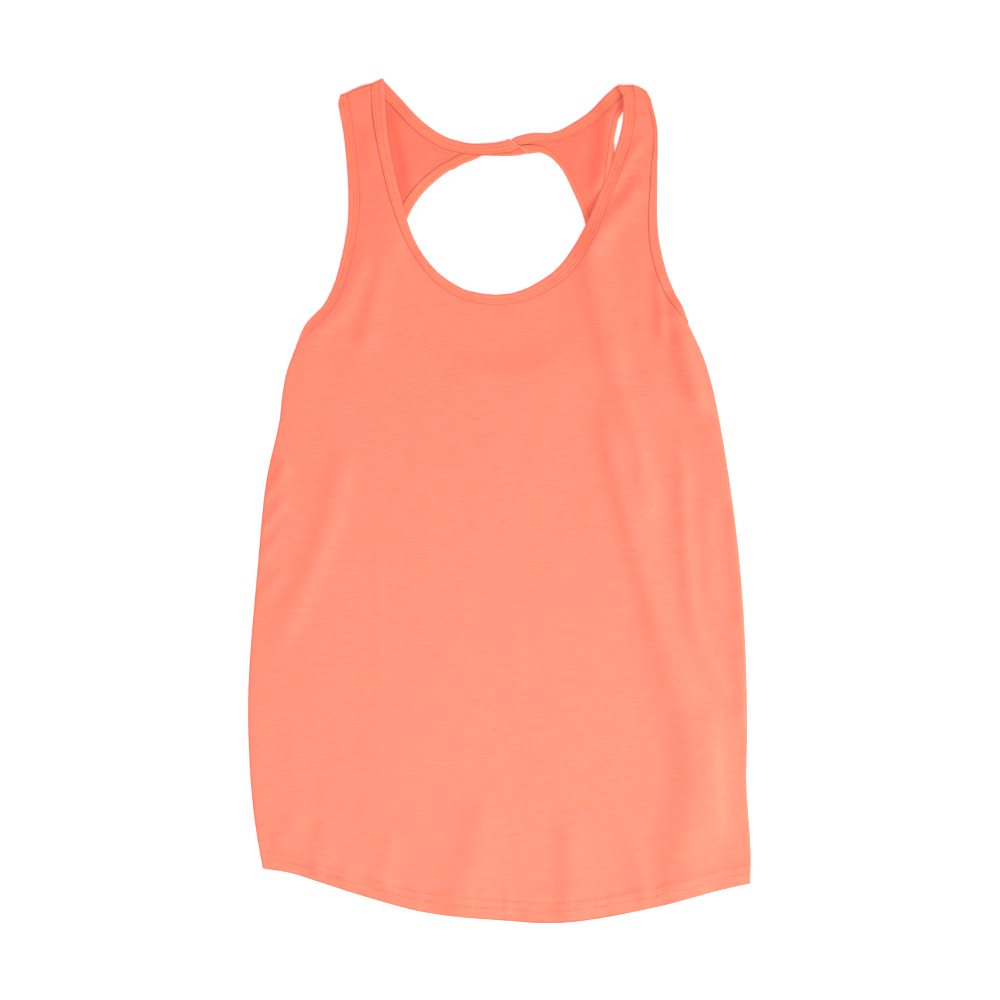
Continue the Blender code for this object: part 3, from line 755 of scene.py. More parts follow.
def sewn_rows(tree, colour):
    """The painted shade of the needle holes in the hem's and the shoulder seam's rows, and the seam's warmer
    stitched strip.
    """
    uv, run, level = seam_map(tree)
    middle = SEAM_LEVEL + sum(SHOULDER_ROWS_OUT) / 2
    colour = tinted(tree, colour, apart(tree, level, middle), SEAM_STRIP, "SMOOTHSTEP")
    strength = patchy(tree, uv, least=0.25, most=0.9)
    for row in HEM_ROWS:
        colour = needle_hole_shade(tree, colour, run, level, row, HOLE_SIZE, strength, HEM_PITCH)
    for row in SHOULDER_ROWS_OUT:
        colour = needle_hole_shade(tree, colour, run, level, SEAM_LEVEL + row, HOLE_SIZE, strength, PITCH)
    return colour


def purl_tone_and_painted_shade(tree, colour):
    """The jersey's reverse, which lies in its own shade: deeper in colour partly as the purl side's own tone
    and partly as painted shade.
    """
    shaded = {0: 1.0, 6: colour, 7: linear(REVERSE_PAINTED_SHADE)}
    return add_node(tree, "Mix", shaded, data_type="RGBA", blend_type="MULTIPLY").outputs[2]


viscose_jersey = soft_jersey("viscose_slub_jersey", sewn_rows)
jersey_reverse_painted_shade = soft_jersey("viscose_jersey_reverse_painted_shade", purl_tone_and_painted_shade)

BODY_COLUMNS = 128
BODY_STEP = 3.0
STRAP_ROWS = 72
HEM_FINE = [0.7, 1.6, 2.8, 4.2, 5.6, 7.0, 8.1, 8.7, 9.3, 9.9]
HEM_FINE += [11.0, 12.4, 13.6, 14.6, 15.2, 15.8, 16.5, 17.6, 19.2, 21.4]
FLAP_SHARES = (1.0, 0.75, 0.5, 0.25)
HEM_ROLL_STEPS = 6


def hem_levels(face, up):
    """The rows of a turned-up hem as (distance from its edge, z): the flap inside, then the rolled edge."""
    inner = face - up * 2 * HEM_ROLL
    levels = [(HEM_ALLOWANCE * share, inner) for share in FLAP_SHARES]
    for step in range(HEM_ROLL_STEPS + 1):
        angle = math.pi * step / HEM_ROLL_STEPS
        levels.append((HEM_ROLL * (1 - math.sin(angle)), inner + up * HEM_ROLL * (1 - math.cos(angle))))
    return levels


def front_stack(distance):
    """How far the turned-up hems lift the front: a small step at the flap's edge, then a long slope."""
    step = HEM_EDGE_STEP * ease(1 - (distance - HEM_ALLOWANCE) / HEM_EDGE_SLOPE)
    return step + (HEM_STACK - HEM_EDGE_STEP) * ease(1 - (distance - HEM_ALLOWANCE) / HEM_EASE)


def front_face(x, y, distance):
    """The front's outer face at a distance from its hem."""
    return front_height(x, y, NO_SHOULDER) + front_stack(distance) + hem_shape(x, distance)


def front_inside(x, y, distance):
    """How far the front's flap follows the folds and puckers outside it."""
    return hem_shape(x, distance) + relief(front_creases, x, y)


def row_distances(height, step):
    """Where a body panel's rows lie above its hem: closer together over the stitching, then even."""
    rest = height - HEM_FINE[-1]
    count = round(rest / step)
    return HEM_FINE + [HEM_FINE[-1] + rest * i / count for i in range(1, count + 1)]


def body_rows(drops, fractions, ends, flap, distances, inside, outside, fall):
    """A body panel's points: the flap inside, the hem's edge, then its outer face. At the side seams the face
    falls towards the other panel."""
    depths = [distance for distance, z in flap] + distances
    rows = []
    for index, flat_row in enumerate(outline_rows(drops, fractions, depths, *ends)):
        width = flat_row[-1][0] - flat_row[0][0]
        row = []
        for t, (x, y) in zip(fractions, flat_row):
            if index < len(flap):
                z = flap[index][1] + inside(x, y, depths[index])
            else:
                z = outside(x, y, depths[index]) + fall * side_drop(t, width)
            row.append((x, y, z))
        rows.append(row)
    return rows


half = spread(BODY_COLUMNS // 2)
flap = hem_levels(FRONT_FACE + HEM_STACK, 1)
distances = row_distances(FRONT_ARMHOLE_LEFT[0].y - LEFT_SIDE[0].y, BODY_STEP)
front_drops = smooth_rows([(row.across, row.front) for row in HEM_CURVE], BODY_COLUMNS, by_first=True)
front_ends = (FRONT_ARMHOLE_LEFT[0], FRONT_NECK_LEFT[0], FRONT_ARMHOLE_RIGHT[0])
front_rows = body_rows(
    front_drops, both_halves(half), front_ends, flap, distances, front_inside, front_face, fall=-1
)


def front_strap(arm_table, neck_table, shoulder, body_top):
    """Rows from the line between underarm and neck, outer end first, up to the shoulder seam."""
    arm, _ = front_edge(arm_table, shoulder.arm_seam, STRAP_ROWS)
    neck, _ = front_edge(neck_table, shoulder.neck_seam, STRAP_ROWS)
    level = shoulder_level(shoulder)
    arm.insert(-1, mix(arm[-2], arm[-1], SEAM_SHARES[-2]))
    neck.insert(-1, mix(neck[-2], neck[-1], SEAM_SHARES[-2]))
    rows = [body_top]
    for step, (outer, inner) in enumerate(zip(arm[1:], neck[1:]), start=1):
        row = []
        for t in half:
            x, y = mix(outer, inner, t)
            aside = min(t, 1 - t) * math.dist(outer, inner)
            edge = SEAM_TURN * ease(1 - aside / SEAM_TURN_WIDTH) * ease(step / SEAM_TURN_ROWS)
            row.append((x, y, front_height(x, y, level) - edge))
        rows.append(row)
    return rows


middle = len(half) - 1
left_strap = front_strap(FRONT_ARMHOLE_LEFT, FRONT_NECK_LEFT, LEFT, front_rows[-1][: middle + 1])
right_strap = front_strap(FRONT_ARMHOLE_RIGHT, FRONT_NECK_RIGHT, RIGHT, front_rows[-1][middle:][::-1])
right_strap = [row[::-1] for row in right_strap]
front_levels = [-distance for distance, z in flap] + distances
front = panel("front_panel", front_rows, front_levels, (left_strap, right_strap), True, ["front"])

# ---- Back --------------------------------------------------------------------------------------------
# The back panel: below the keyhole as wide as the front, then two wings that narrow to the twist and run
# up over the shoulders. Its inside shows through the neck, and its hem is turned up like the front's.

Wing = namedtuple("Wing", "arm_x arm_y arm_band seam_x seam_y seam_band")
LEFT_KEYHOLE = (
    Wing(-187.0, 88.0, 0.0, KEYHOLE_BOTTOM[0], KEYHOLE_BOTTOM[1], 8.6),
    Wing(-182.0, 110.0, 0.0, -27.0, 109.0, 8.6),
    Wing(-175.5, 131.5, 1.2, -53.0, 127.0, 8.6),
    Wing(-158.0, 144.0, 6.0, -75.0, 152.0, 8.6),
    Wing(-138.0, 162.0, 8.0, -88.0, 181.0, 8.6),
    Wing(-124.0, 190.0, 8.6, -92.0, 215.0, 8.6),
    Wing(-117.0, 216.0, 8.6, -88.5, 243.0, 8.6),
    Wing(-114.0, 238.0, 8.6, -75.4, 266.8, 9.0),
    Wing(-113.0, 255.0, 8.6, -55.0, 286.0, 8.6),
    Wing(-113.0, 266.0, 8.6, -33.0, 298.3, 7.4),
)
LEFT_SHOULDER = (
    Wing(-113.0, 266.0, 8.6, -33.0, 298.9, 9.6),
    Wing(-113.0, 272.0, 8.6, -48.0, 302.7, 10.0),
    Wing(-113.6, 280.0, 8.6, -62.0, 310.0, 10.2),
    Wing(-115.4, 296.0, 8.6, -78.0, 322.6, 10.4),
    Wing(-119.5, 318.0, 8.6, -94.0, 340.0, 10.4),
    Wing(-128.8, 347.9, 8.6, -110.3, 355.9, 11.2),
)
RIGHT_KEYHOLE = (
    Wing(186.0, 82.0, 0.0, KEYHOLE_BOTTOM[0], KEYHOLE_BOTTOM[1], 8.6),
    Wing(177.0, 112.0, 0.0, 34.0, 106.6, 8.6),
    Wing(167.0, 139.5, 1.2, 59.0, 121.0, 8.6),
    Wing(147.0, 154.0, 6.0, 78.0, 145.0, 8.6),
    Wing(126.0, 172.0, 8.0, 87.0, 178.0, 8.6),
    Wing(108.0, 202.0, 8.6, 86.0, 212.0, 8.0),
    Wing(97.0, 235.0, 7.0, 77.5, 244.0, 5.6),
    Wing(90.0, 262.0, 5.2, 66.5, 268.0, 4.2),
    Wing(90.4, 283.0, 6.0, 55.0, 289.0, 4.0),
    Wing(92.5, 299.0, 5.8, 40.0, 302.6, 5.2),
    Wing(93.5, 308.0, 4.8, 18.0, 304.8, 8.2),
)
RIGHT_SHOULDER = (
    Wing(93.5, 308.0, 4.8, 18.0, 305.4, 9.4),
    Wing(93.8, 310.0, 4.2, 34.0, 308.6, 8.2),
    Wing(94.6, 315.0, 4.2, 50.0, 310.4, 7.4),
    Wing(96.2, 322.0, 4.2, 66.0, 316.2, 9.2),
    Wing(98.2, 330.0, 4.2, 83.0, 326.4, 10.2),
    Wing(106.0, 341.5, 4.2, 96.6, 340.2, 10.2),
    Wing(120.4, 352.2, 4.2, 107.8, 350.4, 10.2),
)

# The back lies on the table, so its creases only lift it: two show on each wing, the rest are underneath
BACK_CREASES = (
    Crease(3.2, 16.0, 7.0, ((-94, 344), (-84, 314), (-78, 284), (-76, 244))),
    Crease(0.6, 12.0, 9.0, ((-62, 322), (-66, 300), (-72, 272))),
    Crease(3.6, 5.0, 9.0, ((96, 350), (92, 322), (91, 304), (88, 284), (78, 256))),
    Crease(0.7, 9.0, 7.0, ((62, 322), (66, 300), (68, 272))),
    Crease(0.8, 12.0, 9.0, ((-150, 120), (-126, 40), (-118, -60), (-132, -150))),
    Crease(0.7, 9.0, 12.0, ((-60, 90), (-72, 10), (-70, -90))),
    Crease(0.8, 9.0, 11.0, ((70, 84), (92, -20), (104, -120), (98, -230))),
    Crease(0.7, 10.0, 8.0, ((150, 110), (138, 30), (150, -70))),
    Crease(0.8, 8.0, 10.0, ((176, -60), (184, -160), (178, -270))),
    Crease(0.6, 9.0, 9.0, ((-30, -230), (-38, -290), (-34, -345))),
    Crease(0.6, 8.0, 10.0, ((-176, -180), (-168, -250), (-180, -300))),
    Crease(0.5, 7.0, 7.0, ((24, 40), (30, -40), (22, -120))),
)
BACK_SWELLS = (Swell(50.0, 90.0, 0.2, 12.4), Swell(18.0, 30.0, 0.08, 6.6))
WING_ROWS = 60
SHOULDER_ROWS = 34
SHOULDER_ROLL_STEPS = 10
SHOULDER_FADE = 14.0
BACK_REST = 0.12
HEM_FLAT = 30.0
BACK_COLUMNS = 72
BACK_STEP = 4.2

back_creases = traced(BACK_CREASES)


def back_lift(x, y):
    """How far the back's outer face is off the table."""
    level = shoulder_level(LEFT if x < 0 else RIGHT)
    loose = relief(back_creases, x, y) + BACK_REST + swell(BACK_SWELLS, x, y)
    return max(loose, 0.0) * ease((level - y) / SHOULDER_FADE)


def over_shoulder(lane, depth=0.0, turn=0.0):
    """A line from where it leaves the table, over the shoulder's fold, to the shoulder seam. It runs a depth
    inside the back's outer face, and at the seam it turns in."""
    fold, seam = Vector((lane.fold_x, lane.fold_y)), Vector((lane.seam_x, lane.seam_y))
    out = (fold - seam).normalized()
    centre = fold - out * SHOULDER_ROLL
    radius = SHOULDER_ROLL - depth
    points = []
    for step in range(SHOULDER_ROLL_STEPS + 1):
        angle = math.pi * step / SHOULDER_ROLL_STEPS
        place = centre + out * radius * math.sin(angle)
        points.append((place.x, place.y, SHOULDER_ROLL - radius * math.cos(angle)))
    top, level = points[-1][:2], SHOULDER_ROLL + radius
    points += [(*mix(top, seam, share), level) for share in SEAM_SHARES[:-1]]
    return points + [(seam.x, seam.y, level - turn)]


def back_inside(x, y, distance):
    """How far the puckers lift the back's hem off the table, and its flap with it."""
    return max(-hem_shape(x, distance), 0.0)


def back_face(x, y, distance):
    """The back's outer face at a distance from its hem, where it lies flat."""
    return back_lift(x, y) * ease(distance / HEM_FLAT) + back_inside(x, y, distance)


def wing_lines(sections, count):
    """The seam lines on both sides of a wing, with their bindings' widths."""
    rows = [Wing(*row) for row in smooth_rows(sections, count)]
    arm = [(row.arm_x, row.arm_y) for row in rows]
    seam = [(row.seam_x, row.seam_y) for row in rows]
    return arm, [row.arm_band for row in rows], seam, [row.seam_band for row in rows]


def lifted(points, depth=0.0):
    return [(x, y, back_lift(x, y) + depth) for x, y in points]


def wing(keyhole, shoulder_table, shoulder):
    """Rows of a wing from its armhole seam to its inner seam: up to the twist, the shoulder and over it."""
    low_arm, _, low_seam, _ = wing_lines(keyhole, WING_ROWS)
    high_arm, _, high_seam, _ = wing_lines(shoulder_table, SHOULDER_ROWS)
    arm_over = over_shoulder(shoulder.arm_seam, turn=SHOULDER_TURN)
    seam_over = over_shoulder(shoulder.neck_seam, turn=SHOULDER_TURN)
    rows = []
    for arm, seam in zip(low_arm + high_arm[1:-1], low_seam + high_seam[1:-1]):
        rows.append(lifted([mix(arm, seam, t) for t in back_half]))
    out = outward(shoulder).to_3d()
    most = SHOULDER_BOW * math.dist(shoulder.arm_seam[:2], shoulder.neck_seam[:2])
    for step, (arm, seam) in enumerate(zip(arm_over, seam_over)):
        bow = most * math.sin(math.pi * min(step / SHOULDER_ROLL_STEPS, 1.0))
        rows.append([Vector(mix(arm, seam, t)) + out * bow * 4 * t * (1 - t) for t in back_half])
    return rows


back_half = spread(BACK_COLUMNS // 2)
left_wing = wing(LEFT_KEYHOLE, LEFT_SHOULDER, LEFT)
right_wing = [row[::-1] for row in wing(RIGHT_KEYHOLE, RIGHT_SHOULDER, RIGHT)]
back_ends = (LEFT_KEYHOLE[0][:2], KEYHOLE_BOTTOM, RIGHT_KEYHOLE[0][:2])
back_flap = hem_levels(0.0, -1)
back_distances = row_distances(LEFT_KEYHOLE[0].arm_y - LEFT_SIDE[0].y, BACK_STEP)
back_drops = smooth_rows([(row.across, row.back) for row in HEM_CURVE], BACK_COLUMNS, by_first=True)
back_rows = body_rows(
    back_drops, both_halves(back_half), back_ends, back_flap, back_distances, back_inside, back_face, fall=1
)
back_rows[-1] = left_wing[0] + right_wing[0][1:]
back_levels = [-distance for distance, z in back_flap] + back_distances
back = panel("back_panel", back_rows, back_levels, (left_wing, right_wing), False, ["back"])

# ---- Neck binding ------------------------------------------------------------------------------------
# A strip of the same jersey, folded double round the front neck and stitched down beside its seam with two
# rows. Its free half is smooth and slightly rounded. The seam beside it is a fine crease, its shade painted
# as a dark line.

BAND_HALF = 0.55
BAND_STEP = 0.6
BAND_ROWS = (0.25, 0.54)
BAND_COUNT = 200
BAND_SMOOTH = 0.64
BAND_MIDDLE = 0.4
BAND_STEP_FADE = 14.0
ROW_DEPTH = 0.76
THREAD = 0.24
STITCH = 1.5
SHORTEST = 0.0001
SAME_PLACE = 0.002 * MM

# The binding's cross-section: fraction of its width from the seam, and height as a share of BAND_HALF
SECTION = (
    (0.0, 0.45),
    (0.03, 0.72),
    (0.09, 0.92),
    (0.18, 0.94),
    (0.25, 0.7),
    (0.32, 0.94),
    (0.4, 1.0),
    (0.47, 0.94),
    (0.54, 0.7),
    (0.61, 1.0),
    (0.72, 1.2),
    (0.84, 1.18),
    (0.93, 0.95),
    (0.98, 0.55),
    (1.0, 0.0),
)

Station = namedtuple("Station", "run seam bend free along")


def moved_out(points, distances, side):
    """The line of points shifted sideways: side 1 is to the left of its direction and -1 to the right."""
    shifted = []
    for i, (x, y) in enumerate(points):
        before, after = Vector(points[max(i - 1, 0)]), Vector(points[min(i + 1, len(points) - 1)])
        along = (after - before).normalized()
        shifted.append((x - side * along.y * distances[i], y + side * along.x * distances[i]))
    return shifted


def between(low, high, t):
    vectors = [a.lerp(b, t) for a, b in zip(low[1:], high[1:])]
    return Station((1 - t) * low.run + t * high.run, *vectors)


def stations(seam, free, facing, bends=()):
    """A binding's stations, each with its distance along, seam edge, free edge and the bend between them."""
    seam, free, bends = [Vector(p) for p in seam], [Vector(p) for p in free], [Vector(p) for p in bends]
    bends = bends or [near.lerp(far, 0.5) for near, far in zip(seam, free)]
    found, run = [], 0.0
    for i, (near, bend, far) in enumerate(zip(seam, bends, free)):
        low, high = max(i - 1, 0), min(i + 1, len(seam) - 1)
        along = (seam[high] + free[high] - seam[low] - free[low]).normalized() * facing
        if i:
            run += (near.lerp(far, BAND_MIDDLE) - seam[i - 1].lerp(free[i - 1], BAND_MIDDLE)).length
        found.append(Station(run, near, bend, far, along))
    found.insert(1, between(found[0], found[1], 1 - SEAM_SHARES[-2]))
    found.insert(-1, between(found[-2], found[-1], SEAM_SHARES[-2]))
    return found


def across(station, v, off):
    """The place at the fraction v across a binding, off its middle surface in mm, and the normal there."""
    near, bend, far = station.seam, station.bend, station.free
    normal = station.along.cross((bend - near).lerp(far - bend, v)).normalized()
    return near.lerp(bend, v).lerp(bend.lerp(far, v), v) + normal * off, normal


def close_tube(bm, ordered):
    """Joins the long sides of a patch, closes its ends and turns its faces outwards."""
    bmesh.ops.remove_doubles(bm, verts=ordered, dist=SAME_PLACE)
    bmesh.ops.holes_fill(bm, edges=[edge for edge in bm.edges if edge.is_boundary], sides=0)
    bmesh.ops.recalc_face_normals(bm, faces=bm.faces)


def add_band(bm, line, rolled):
    """A closed folded strip through a binding's stations. Its UV map is mm along it and the fraction across,
    or past the seam only the smooth half's fractions where its stitched half is rolled out of sight."""
    loop = list(SECTION) + [(v, -n) for v, n in reversed(SECTION)] + [SECTION[0]]
    ordered = add_patch(bm, [[across(station, v, n * BAND_HALF)[0] for v, n in loop] for station in line])
    shown = [v for v, n in loop]
    if rolled:
        shown = [BAND_SMOOTH + (1 - BAND_SMOOTH) * v if v > SECTION[2][0] else v for v in shown]
    lay_uv(bm, ordered, [[(station.run, v) for v in shown] for station in line])
    close_tube(bm, ordered)


HOLE_SHARE = 0.05
# By the fraction across a binding, from the middle of its two rows and from its seam; the seam tint is
# painted shade, a dark line where the crease lies in shade
BAND_ZONE = Tint(STITCHED, 0.13, 0.23, 0.28, 0.0)
BAND_SEAM_PAINTED_SHADE = Tint("#ab3a27", 0.035, 0.08, 0.62, 0.0)


def stitched_zone(tree, colour, zone, seam):
    """Along a binding: warmer between its rows, painted shade for a needle hole at each stitch and a dark
    line of painted shade along the seam.
    """
    uv, run, v = seam_map(tree)
    colour = tinted(tree, colour, apart(tree, v, sum(BAND_ROWS) / 2), zone, "SMOOTHSTEP")
    strength = patchy(tree, uv, least=0.45, most=0.85)
    for row in BAND_ROWS:
        colour = needle_hole_shade(tree, colour, run, v, row, HOLE_SHARE, strength, PITCH)
    return tinted(tree, colour, v, seam, "SMOOTHSTEP")


binding_jersey = soft_jersey(
    "viscose_slub_binding", lambda tree, colour: stitched_zone(tree, colour, BAND_ZONE, BAND_SEAM_PAINTED_SHADE)
)

TWISTS_A_METRE = 900.0


def polyester_thread(name, low, high):
    """Spun polyester sewing thread with a soft twist, between two shades of its dye."""
    material, tree, shader, place = new_material(name)
    twist = add_node(tree, "TexNoise", {"Vector": place, "Scale": TWISTS_A_METRE, "Detail": 2.0})
    colour = add_node(
        tree, "Mix", {0: twist.outputs["Fac"], 6: linear(low), 7: linear(high)}, data_type="RGBA"
    )
    tree.links.new(colour.outputs[2], shader.inputs["Base Color"])
    shader.inputs["Roughness"].default_value = 0.55
    return material


# The garment's own thread is dyed a little more orange than the jersey
thread_material = polyester_thread("spun_polyester_thread", "#f57040", "#ff8d5c")


def stitch_shape():
    """One stitch: a thread's short run between two needle holes, lying along X."""
    mesh = bpy.data.meshes.new("stitch")
    bm = bmesh.new()
    bmesh.ops.create_uvsphere(bm, u_segments=6, v_segments=4, radius=1.0)
    bmesh.ops.scale(bm, verts=bm.verts, vec=Vector((THREAD, THREAD, STITCH / 2)) * MM)
    bmesh.ops.rotate(bm, verts=bm.verts, matrix=Matrix.Rotation(math.pi / 2, 3, "Y"))
    bm.to_mesh(mesh)
    bm.free()
    return mesh


one_stitch = stitch_shape()


def add_stitch(bm, place, along, normal):
    """A copy of the stitch, at a place in mm, along a direction and on a surface facing the normal."""
    along = along.normalized()
    side = normal.cross(along).normalized()
    turn = Matrix((along, side, along.cross(side))).transposed().to_4x4()
    turn.translation = place * MM
    one_stitch.transform(turn)
    bm.from_mesh(one_stitch)
    one_stitch.transform(turn.inverted())


def sew_row(bm, line, v, face, first):
    """A row of stitches at the fraction v across a binding, on its outer face (1) or its inner one (-1)."""
    index = 0
    for stitch in range(int(first / PITCH) + 1, int(line[-1].run / PITCH)):
        run = (stitch + 0.5) * PITCH
        while index < len(line) - 2 and line[index + 1].run < run:
            index += 1
        low, high = line[index], line[index + 1]
        t = (run - low.run) / max(high.run - low.run, SHORTEST)
        start, normal = across(low, v, face * ROW_DEPTH * BAND_HALF)
        end, turned = across(high, v, face * ROW_DEPTH * BAND_HALF)
        if (end - start).length > SHORTEST:
            add_stitch(bm, start.lerp(end, t), end - start, normal.lerp(turned, t) * face)


def bind(name, stitches, line, jersey, faces, node, first=0.0, rolled=False):
    """A binding and its two rows of stitches, sewn on the faces given from a first distance along it."""
    bm = bmesh.new()
    add_band(bm, line, rolled)
    binding = make_piece(name, bm, jersey, [node])
    bm = bmesh.new()
    for v in BAND_ROWS:
        for face in faces:
            sew_row(bm, line, v, face, first)
    return binding, make_piece(stitches, bm, thread_material)


def beside(lane, other):
    """A seam's lane moved in under its panel, away from the binding's free edge."""
    return Lane(*mix(lane, other, -SEAM_LAP / math.dist(lane[:2], other[:2])))


def band_edges(points, widths, side):
    """A binding's close edge, a little under its panel, and its free edge."""
    return moved_out(points, [-SEAM_LAP] * len(points), side), moved_out(points, widths, side)


def front_band_line(table, shoulder, lane, free_lane, side, count):
    """The close and free edges of a binding along one seam line of the front, on its middle surface."""
    points, widths = front_edge(table, lane, count)
    close, free = band_edges(points, widths, side)
    close = led_to(close, beside(lane, free_lane)[2:], LEAD)
    free = led_to(free, (free_lane.seam_x, free_lane.seam_y), LEAD)
    level = shoulder_level(shoulder)
    edges = []
    for line in (close, free):
        edge = []
        for x, y in line[:-1]:
            step = BAND_STEP * ease((level - y) / BAND_STEP_FADE) - BAND_HALF
            edge.append((x, y, front_height(x, y, level) + step))
        edges.append(edge + [(*line[-1], 2 * SHOULDER_ROLL - BAND_HALF)])
    return edges


neck_left = front_band_line(FRONT_NECK_LEFT, LEFT, LEFT.neck_seam, LEFT.neck_free, -1, BAND_COUNT // 2)
neck_right = front_band_line(FRONT_NECK_RIGHT, RIGHT, RIGHT.neck_seam, RIGHT.neck_free, 1, BAND_COUNT // 2)
neck_close, neck_free = (near[::-1] + far[1:] for near, far in zip(neck_left, neck_right))
neck_line = stations(neck_close, neck_free, 1)
neck_binding, neck_stitches = bind(
    "neck_binding", "neck_stitches", neck_line, binding_jersey, faces=(1,), node="neck_band"
)

# ---- Front armhole bindings --------------------------------------------------------------------------
# The armholes are bound like the neck. Towards the underarm each binding narrows as it turns out of sight
# into the side seam, and on the right strap most of its width is rolled under.

ARM_COUNT = 90
FIRST_STITCH = 14.0

for name, table, shoulder, side, rolled, cloth_area, node in (
    ("arm_binding_front_left", FRONT_ARMHOLE_LEFT, LEFT, 1, False, 0.0021, "arm_band_front_left"),
    ("arm_binding_front_right", FRONT_ARMHOLE_RIGHT, RIGHT, -1, True, 0.0015, "arm_band_front_right"),
):
    edges = front_band_line(table, shoulder, shoulder.arm_seam, shoulder.arm_free, side, ARM_COUNT)
    line = stations(*edges, side)
    binding, stitches = bind(
        name, name + "_stitches", line, binding_jersey, (-1 if rolled else 1,), node, FIRST_STITCH, rolled
    )

# ---- Back bindings and the twist ---------------------------------------------------------------------
# Two bindings, folded like the neck's, finish the back's open edges. Between the shoulder blades they change
# places in a half twist: one runs from the left neck edge over the other to the right keyhole edge, and the
# other runs the opposite way under it.

TWIST_COUNT = 60
TWIST_GAP = 3.0
KEYHOLE_WIDEST = 250.0

# Through the twist: each binding's seam edge, bend and free edge, as x, y and height
Twist = namedtuple("Twist", "seam bend free")
OVER_TWIST = (
    Twist((-33.0, 298.5, 0.9), (-32.0, 303.4, 1.1), (-31.0, 308.0, 0.8)),
    Twist((-24.0, 297.4, 1.5), (-23.7, 302.3, 1.7), (-23.5, 307.1, 1.2)),
    Twist((-14.0, 297.2, 2.0), (-14.0, 302.1, 2.2), (-14.0, 307.1, 1.7)),
    Twist((-4.0, 298.0, 2.2), (-4.0, 303.0, 2.5), (-4.0, 307.8, 2.0)),
    Twist((3.0, 298.9, 2.3), (3.6, 303.9, 2.8), (4.4, 309.4, 2.4)),
    Twist((8.9, 299.3, 2.4), (8.6, 306.0, 3.2), (7.8, 310.6, 2.6)),
    Twist((12.2, 300.5, 2.3), (12.0, 309.4, 3.4), (13.0, 308.0, 1.8)),
    Twist((14.4, 302.1, 2.4), (15.2, 308.6, 3.4), (16.4, 303.6, 1.5)),
    Twist((16.8, 304.5, 2.1), (18.2, 304.4, 3.4), (19.8, 300.6, 1.8)),
    Twist((22.3, 306.0, 1.3), (22.8, 302.4, 2.6), (23.0, 298.0, 1.7)),
    Twist((31.9, 305.6, 0.95), (31.9, 302.4, 1.4), (31.9, 299.0, 1.3)),
    Twist((36.9, 304.4, 0.75), (36.2, 301.6, 1.0), (35.6, 298.9, 0.9)),
    Twist((43.1, 301.2, 0.6), (41.8, 298.9, 0.6), (40.8, 296.7, 0.6)),
)
UNDER_TWIST = (
    Twist((44.0, 309.3, 0.6), (43.8, 312.8, 0.6), (43.6, 316.2, 0.6)),
    Twist((37.9, 309.3, 0.6), (37.2, 313.0, 0.7), (36.4, 316.3, 0.6)),
    Twist((29.0, 307.8, 0.6), (27.8, 312.0, 0.8), (26.7, 316.1, 0.6)),
    Twist((21.5, 305.9, 0.7), (19.6, 310.2, 1.1), (17.8, 314.2, 0.8)),
    Twist((18.0, 304.9, 0.8), (15.3, 309.0, 1.2), (12.6, 312.4, 0.9)),
    Twist((16.4, 304.2, 0.8), (12.0, 307.2, 1.1), (8.8, 309.2, 0.9)),
    Twist((15.6, 303.8, 0.8), (11.4, 303.4, 1.1), (7.6, 303.2, 0.9)),
    Twist((15.0, 303.4, 0.8), (13.0, 299.8, 1.1), (11.4, 296.6, 0.8)),
    Twist((17.4, 303.4, 0.7), (21.0, 301.2, 0.8), (25.0, 298.9, 0.7)),
    Twist((14.6, 303.2, 0.7), (16.4, 300.0, 0.8), (18.6, 297.3, 0.7)),
    Twist((10.4, 302.8, 0.8), (11.8, 299.4, 1.0), (13.2, 296.5, 0.8)),
    Twist((2.1, 301.6, 0.7), (2.6, 298.8, 0.9), (3.0, 296.1, 0.8)),
    Twist((-9.0, 301.2, 0.6), (-8.0, 298.8, 0.7), (-7.0, 296.3, 0.6)),
    Twist((-18.7, 300.9, 0.6), (-16.5, 298.7, 0.6), (-14.3, 296.5, 0.6)),
    Twist((-27.7, 299.4, 0.6), (-25.1, 296.2, 0.6), (-22.5, 292.9, 0.6)),
    Twist((-35.1, 297.5, 0.6), (-33.2, 293.5, 0.6), (-31.4, 289.5, 0.6)),
    Twist((-44.0, 292.6, 0.6), (-41.8, 288.7, 0.6), (-39.6, 284.8, 0.6)),
)

# The back bindings lie in the shade of the neck, so their stitched zone and seam line are painted deeper in
# colour, as painted shade on a copy of the binding material
BACK_ZONE_PAINTED_SHADE = BAND_ZONE._replace(first=0.62)
BACK_SEAM_PAINTED_SHADE = BAND_SEAM_PAINTED_SHADE._replace(first=0.9)
back_binding_painted_shade = soft_jersey(
    "viscose_slub_back_binding_painted_shade", lambda tree, colour: stitched_zone(tree, colour, BACK_ZONE_PAINTED_SHADE, BACK_SEAM_PAINTED_SHADE)
)


def neck_edges(sections, side, shoulder, start_x):
    """A back binding's edges from the shoulder seam down to where the twist takes over."""
    _, _, seam, widths = wing_lines(sections, SHOULDER_ROWS * 2)
    keep = [i for i, (x, y) in enumerate(seam[:-1]) if abs(x) > abs(start_x)]
    edges = []
    lanes = (beside(shoulder.neck_seam, shoulder.neck_free), shoulder.neck_free)
    for line, lane in zip(band_edges(seam, widths, side), lanes):
        over = over_shoulder(lane, BAND_HALF)
        flat = led_to([line[i] for i in keep], over[0][:2], BACK_LEAD)[:-1]
        edges.append((lifted(flat, BAND_HALF) + over)[::-1])
    return edges


def keyhole_edges(sections, side, start_x):
    """A back binding's edges from the twist round the keyhole to its bottom."""
    _, _, seam, widths = wing_lines(sections, WING_ROWS * 2)
    high = max(range(len(seam)), key=lambda i: seam[i][1])
    keep = [i for i, (x, y) in enumerate(seam) if i < high and (abs(x) > abs(start_x) or y < KEYHOLE_WIDEST)]
    edges = []
    for line in band_edges(seam, widths, side):
        line[0] = (KEYHOLE_BOTTOM[0], line[0][1])
        edges.append(lifted([line[i] for i in keep], BAND_HALF)[::-1])
    return edges


def middles(close, free):
    return [mix(near, far, 0.5) for near, far in zip(close, free)]


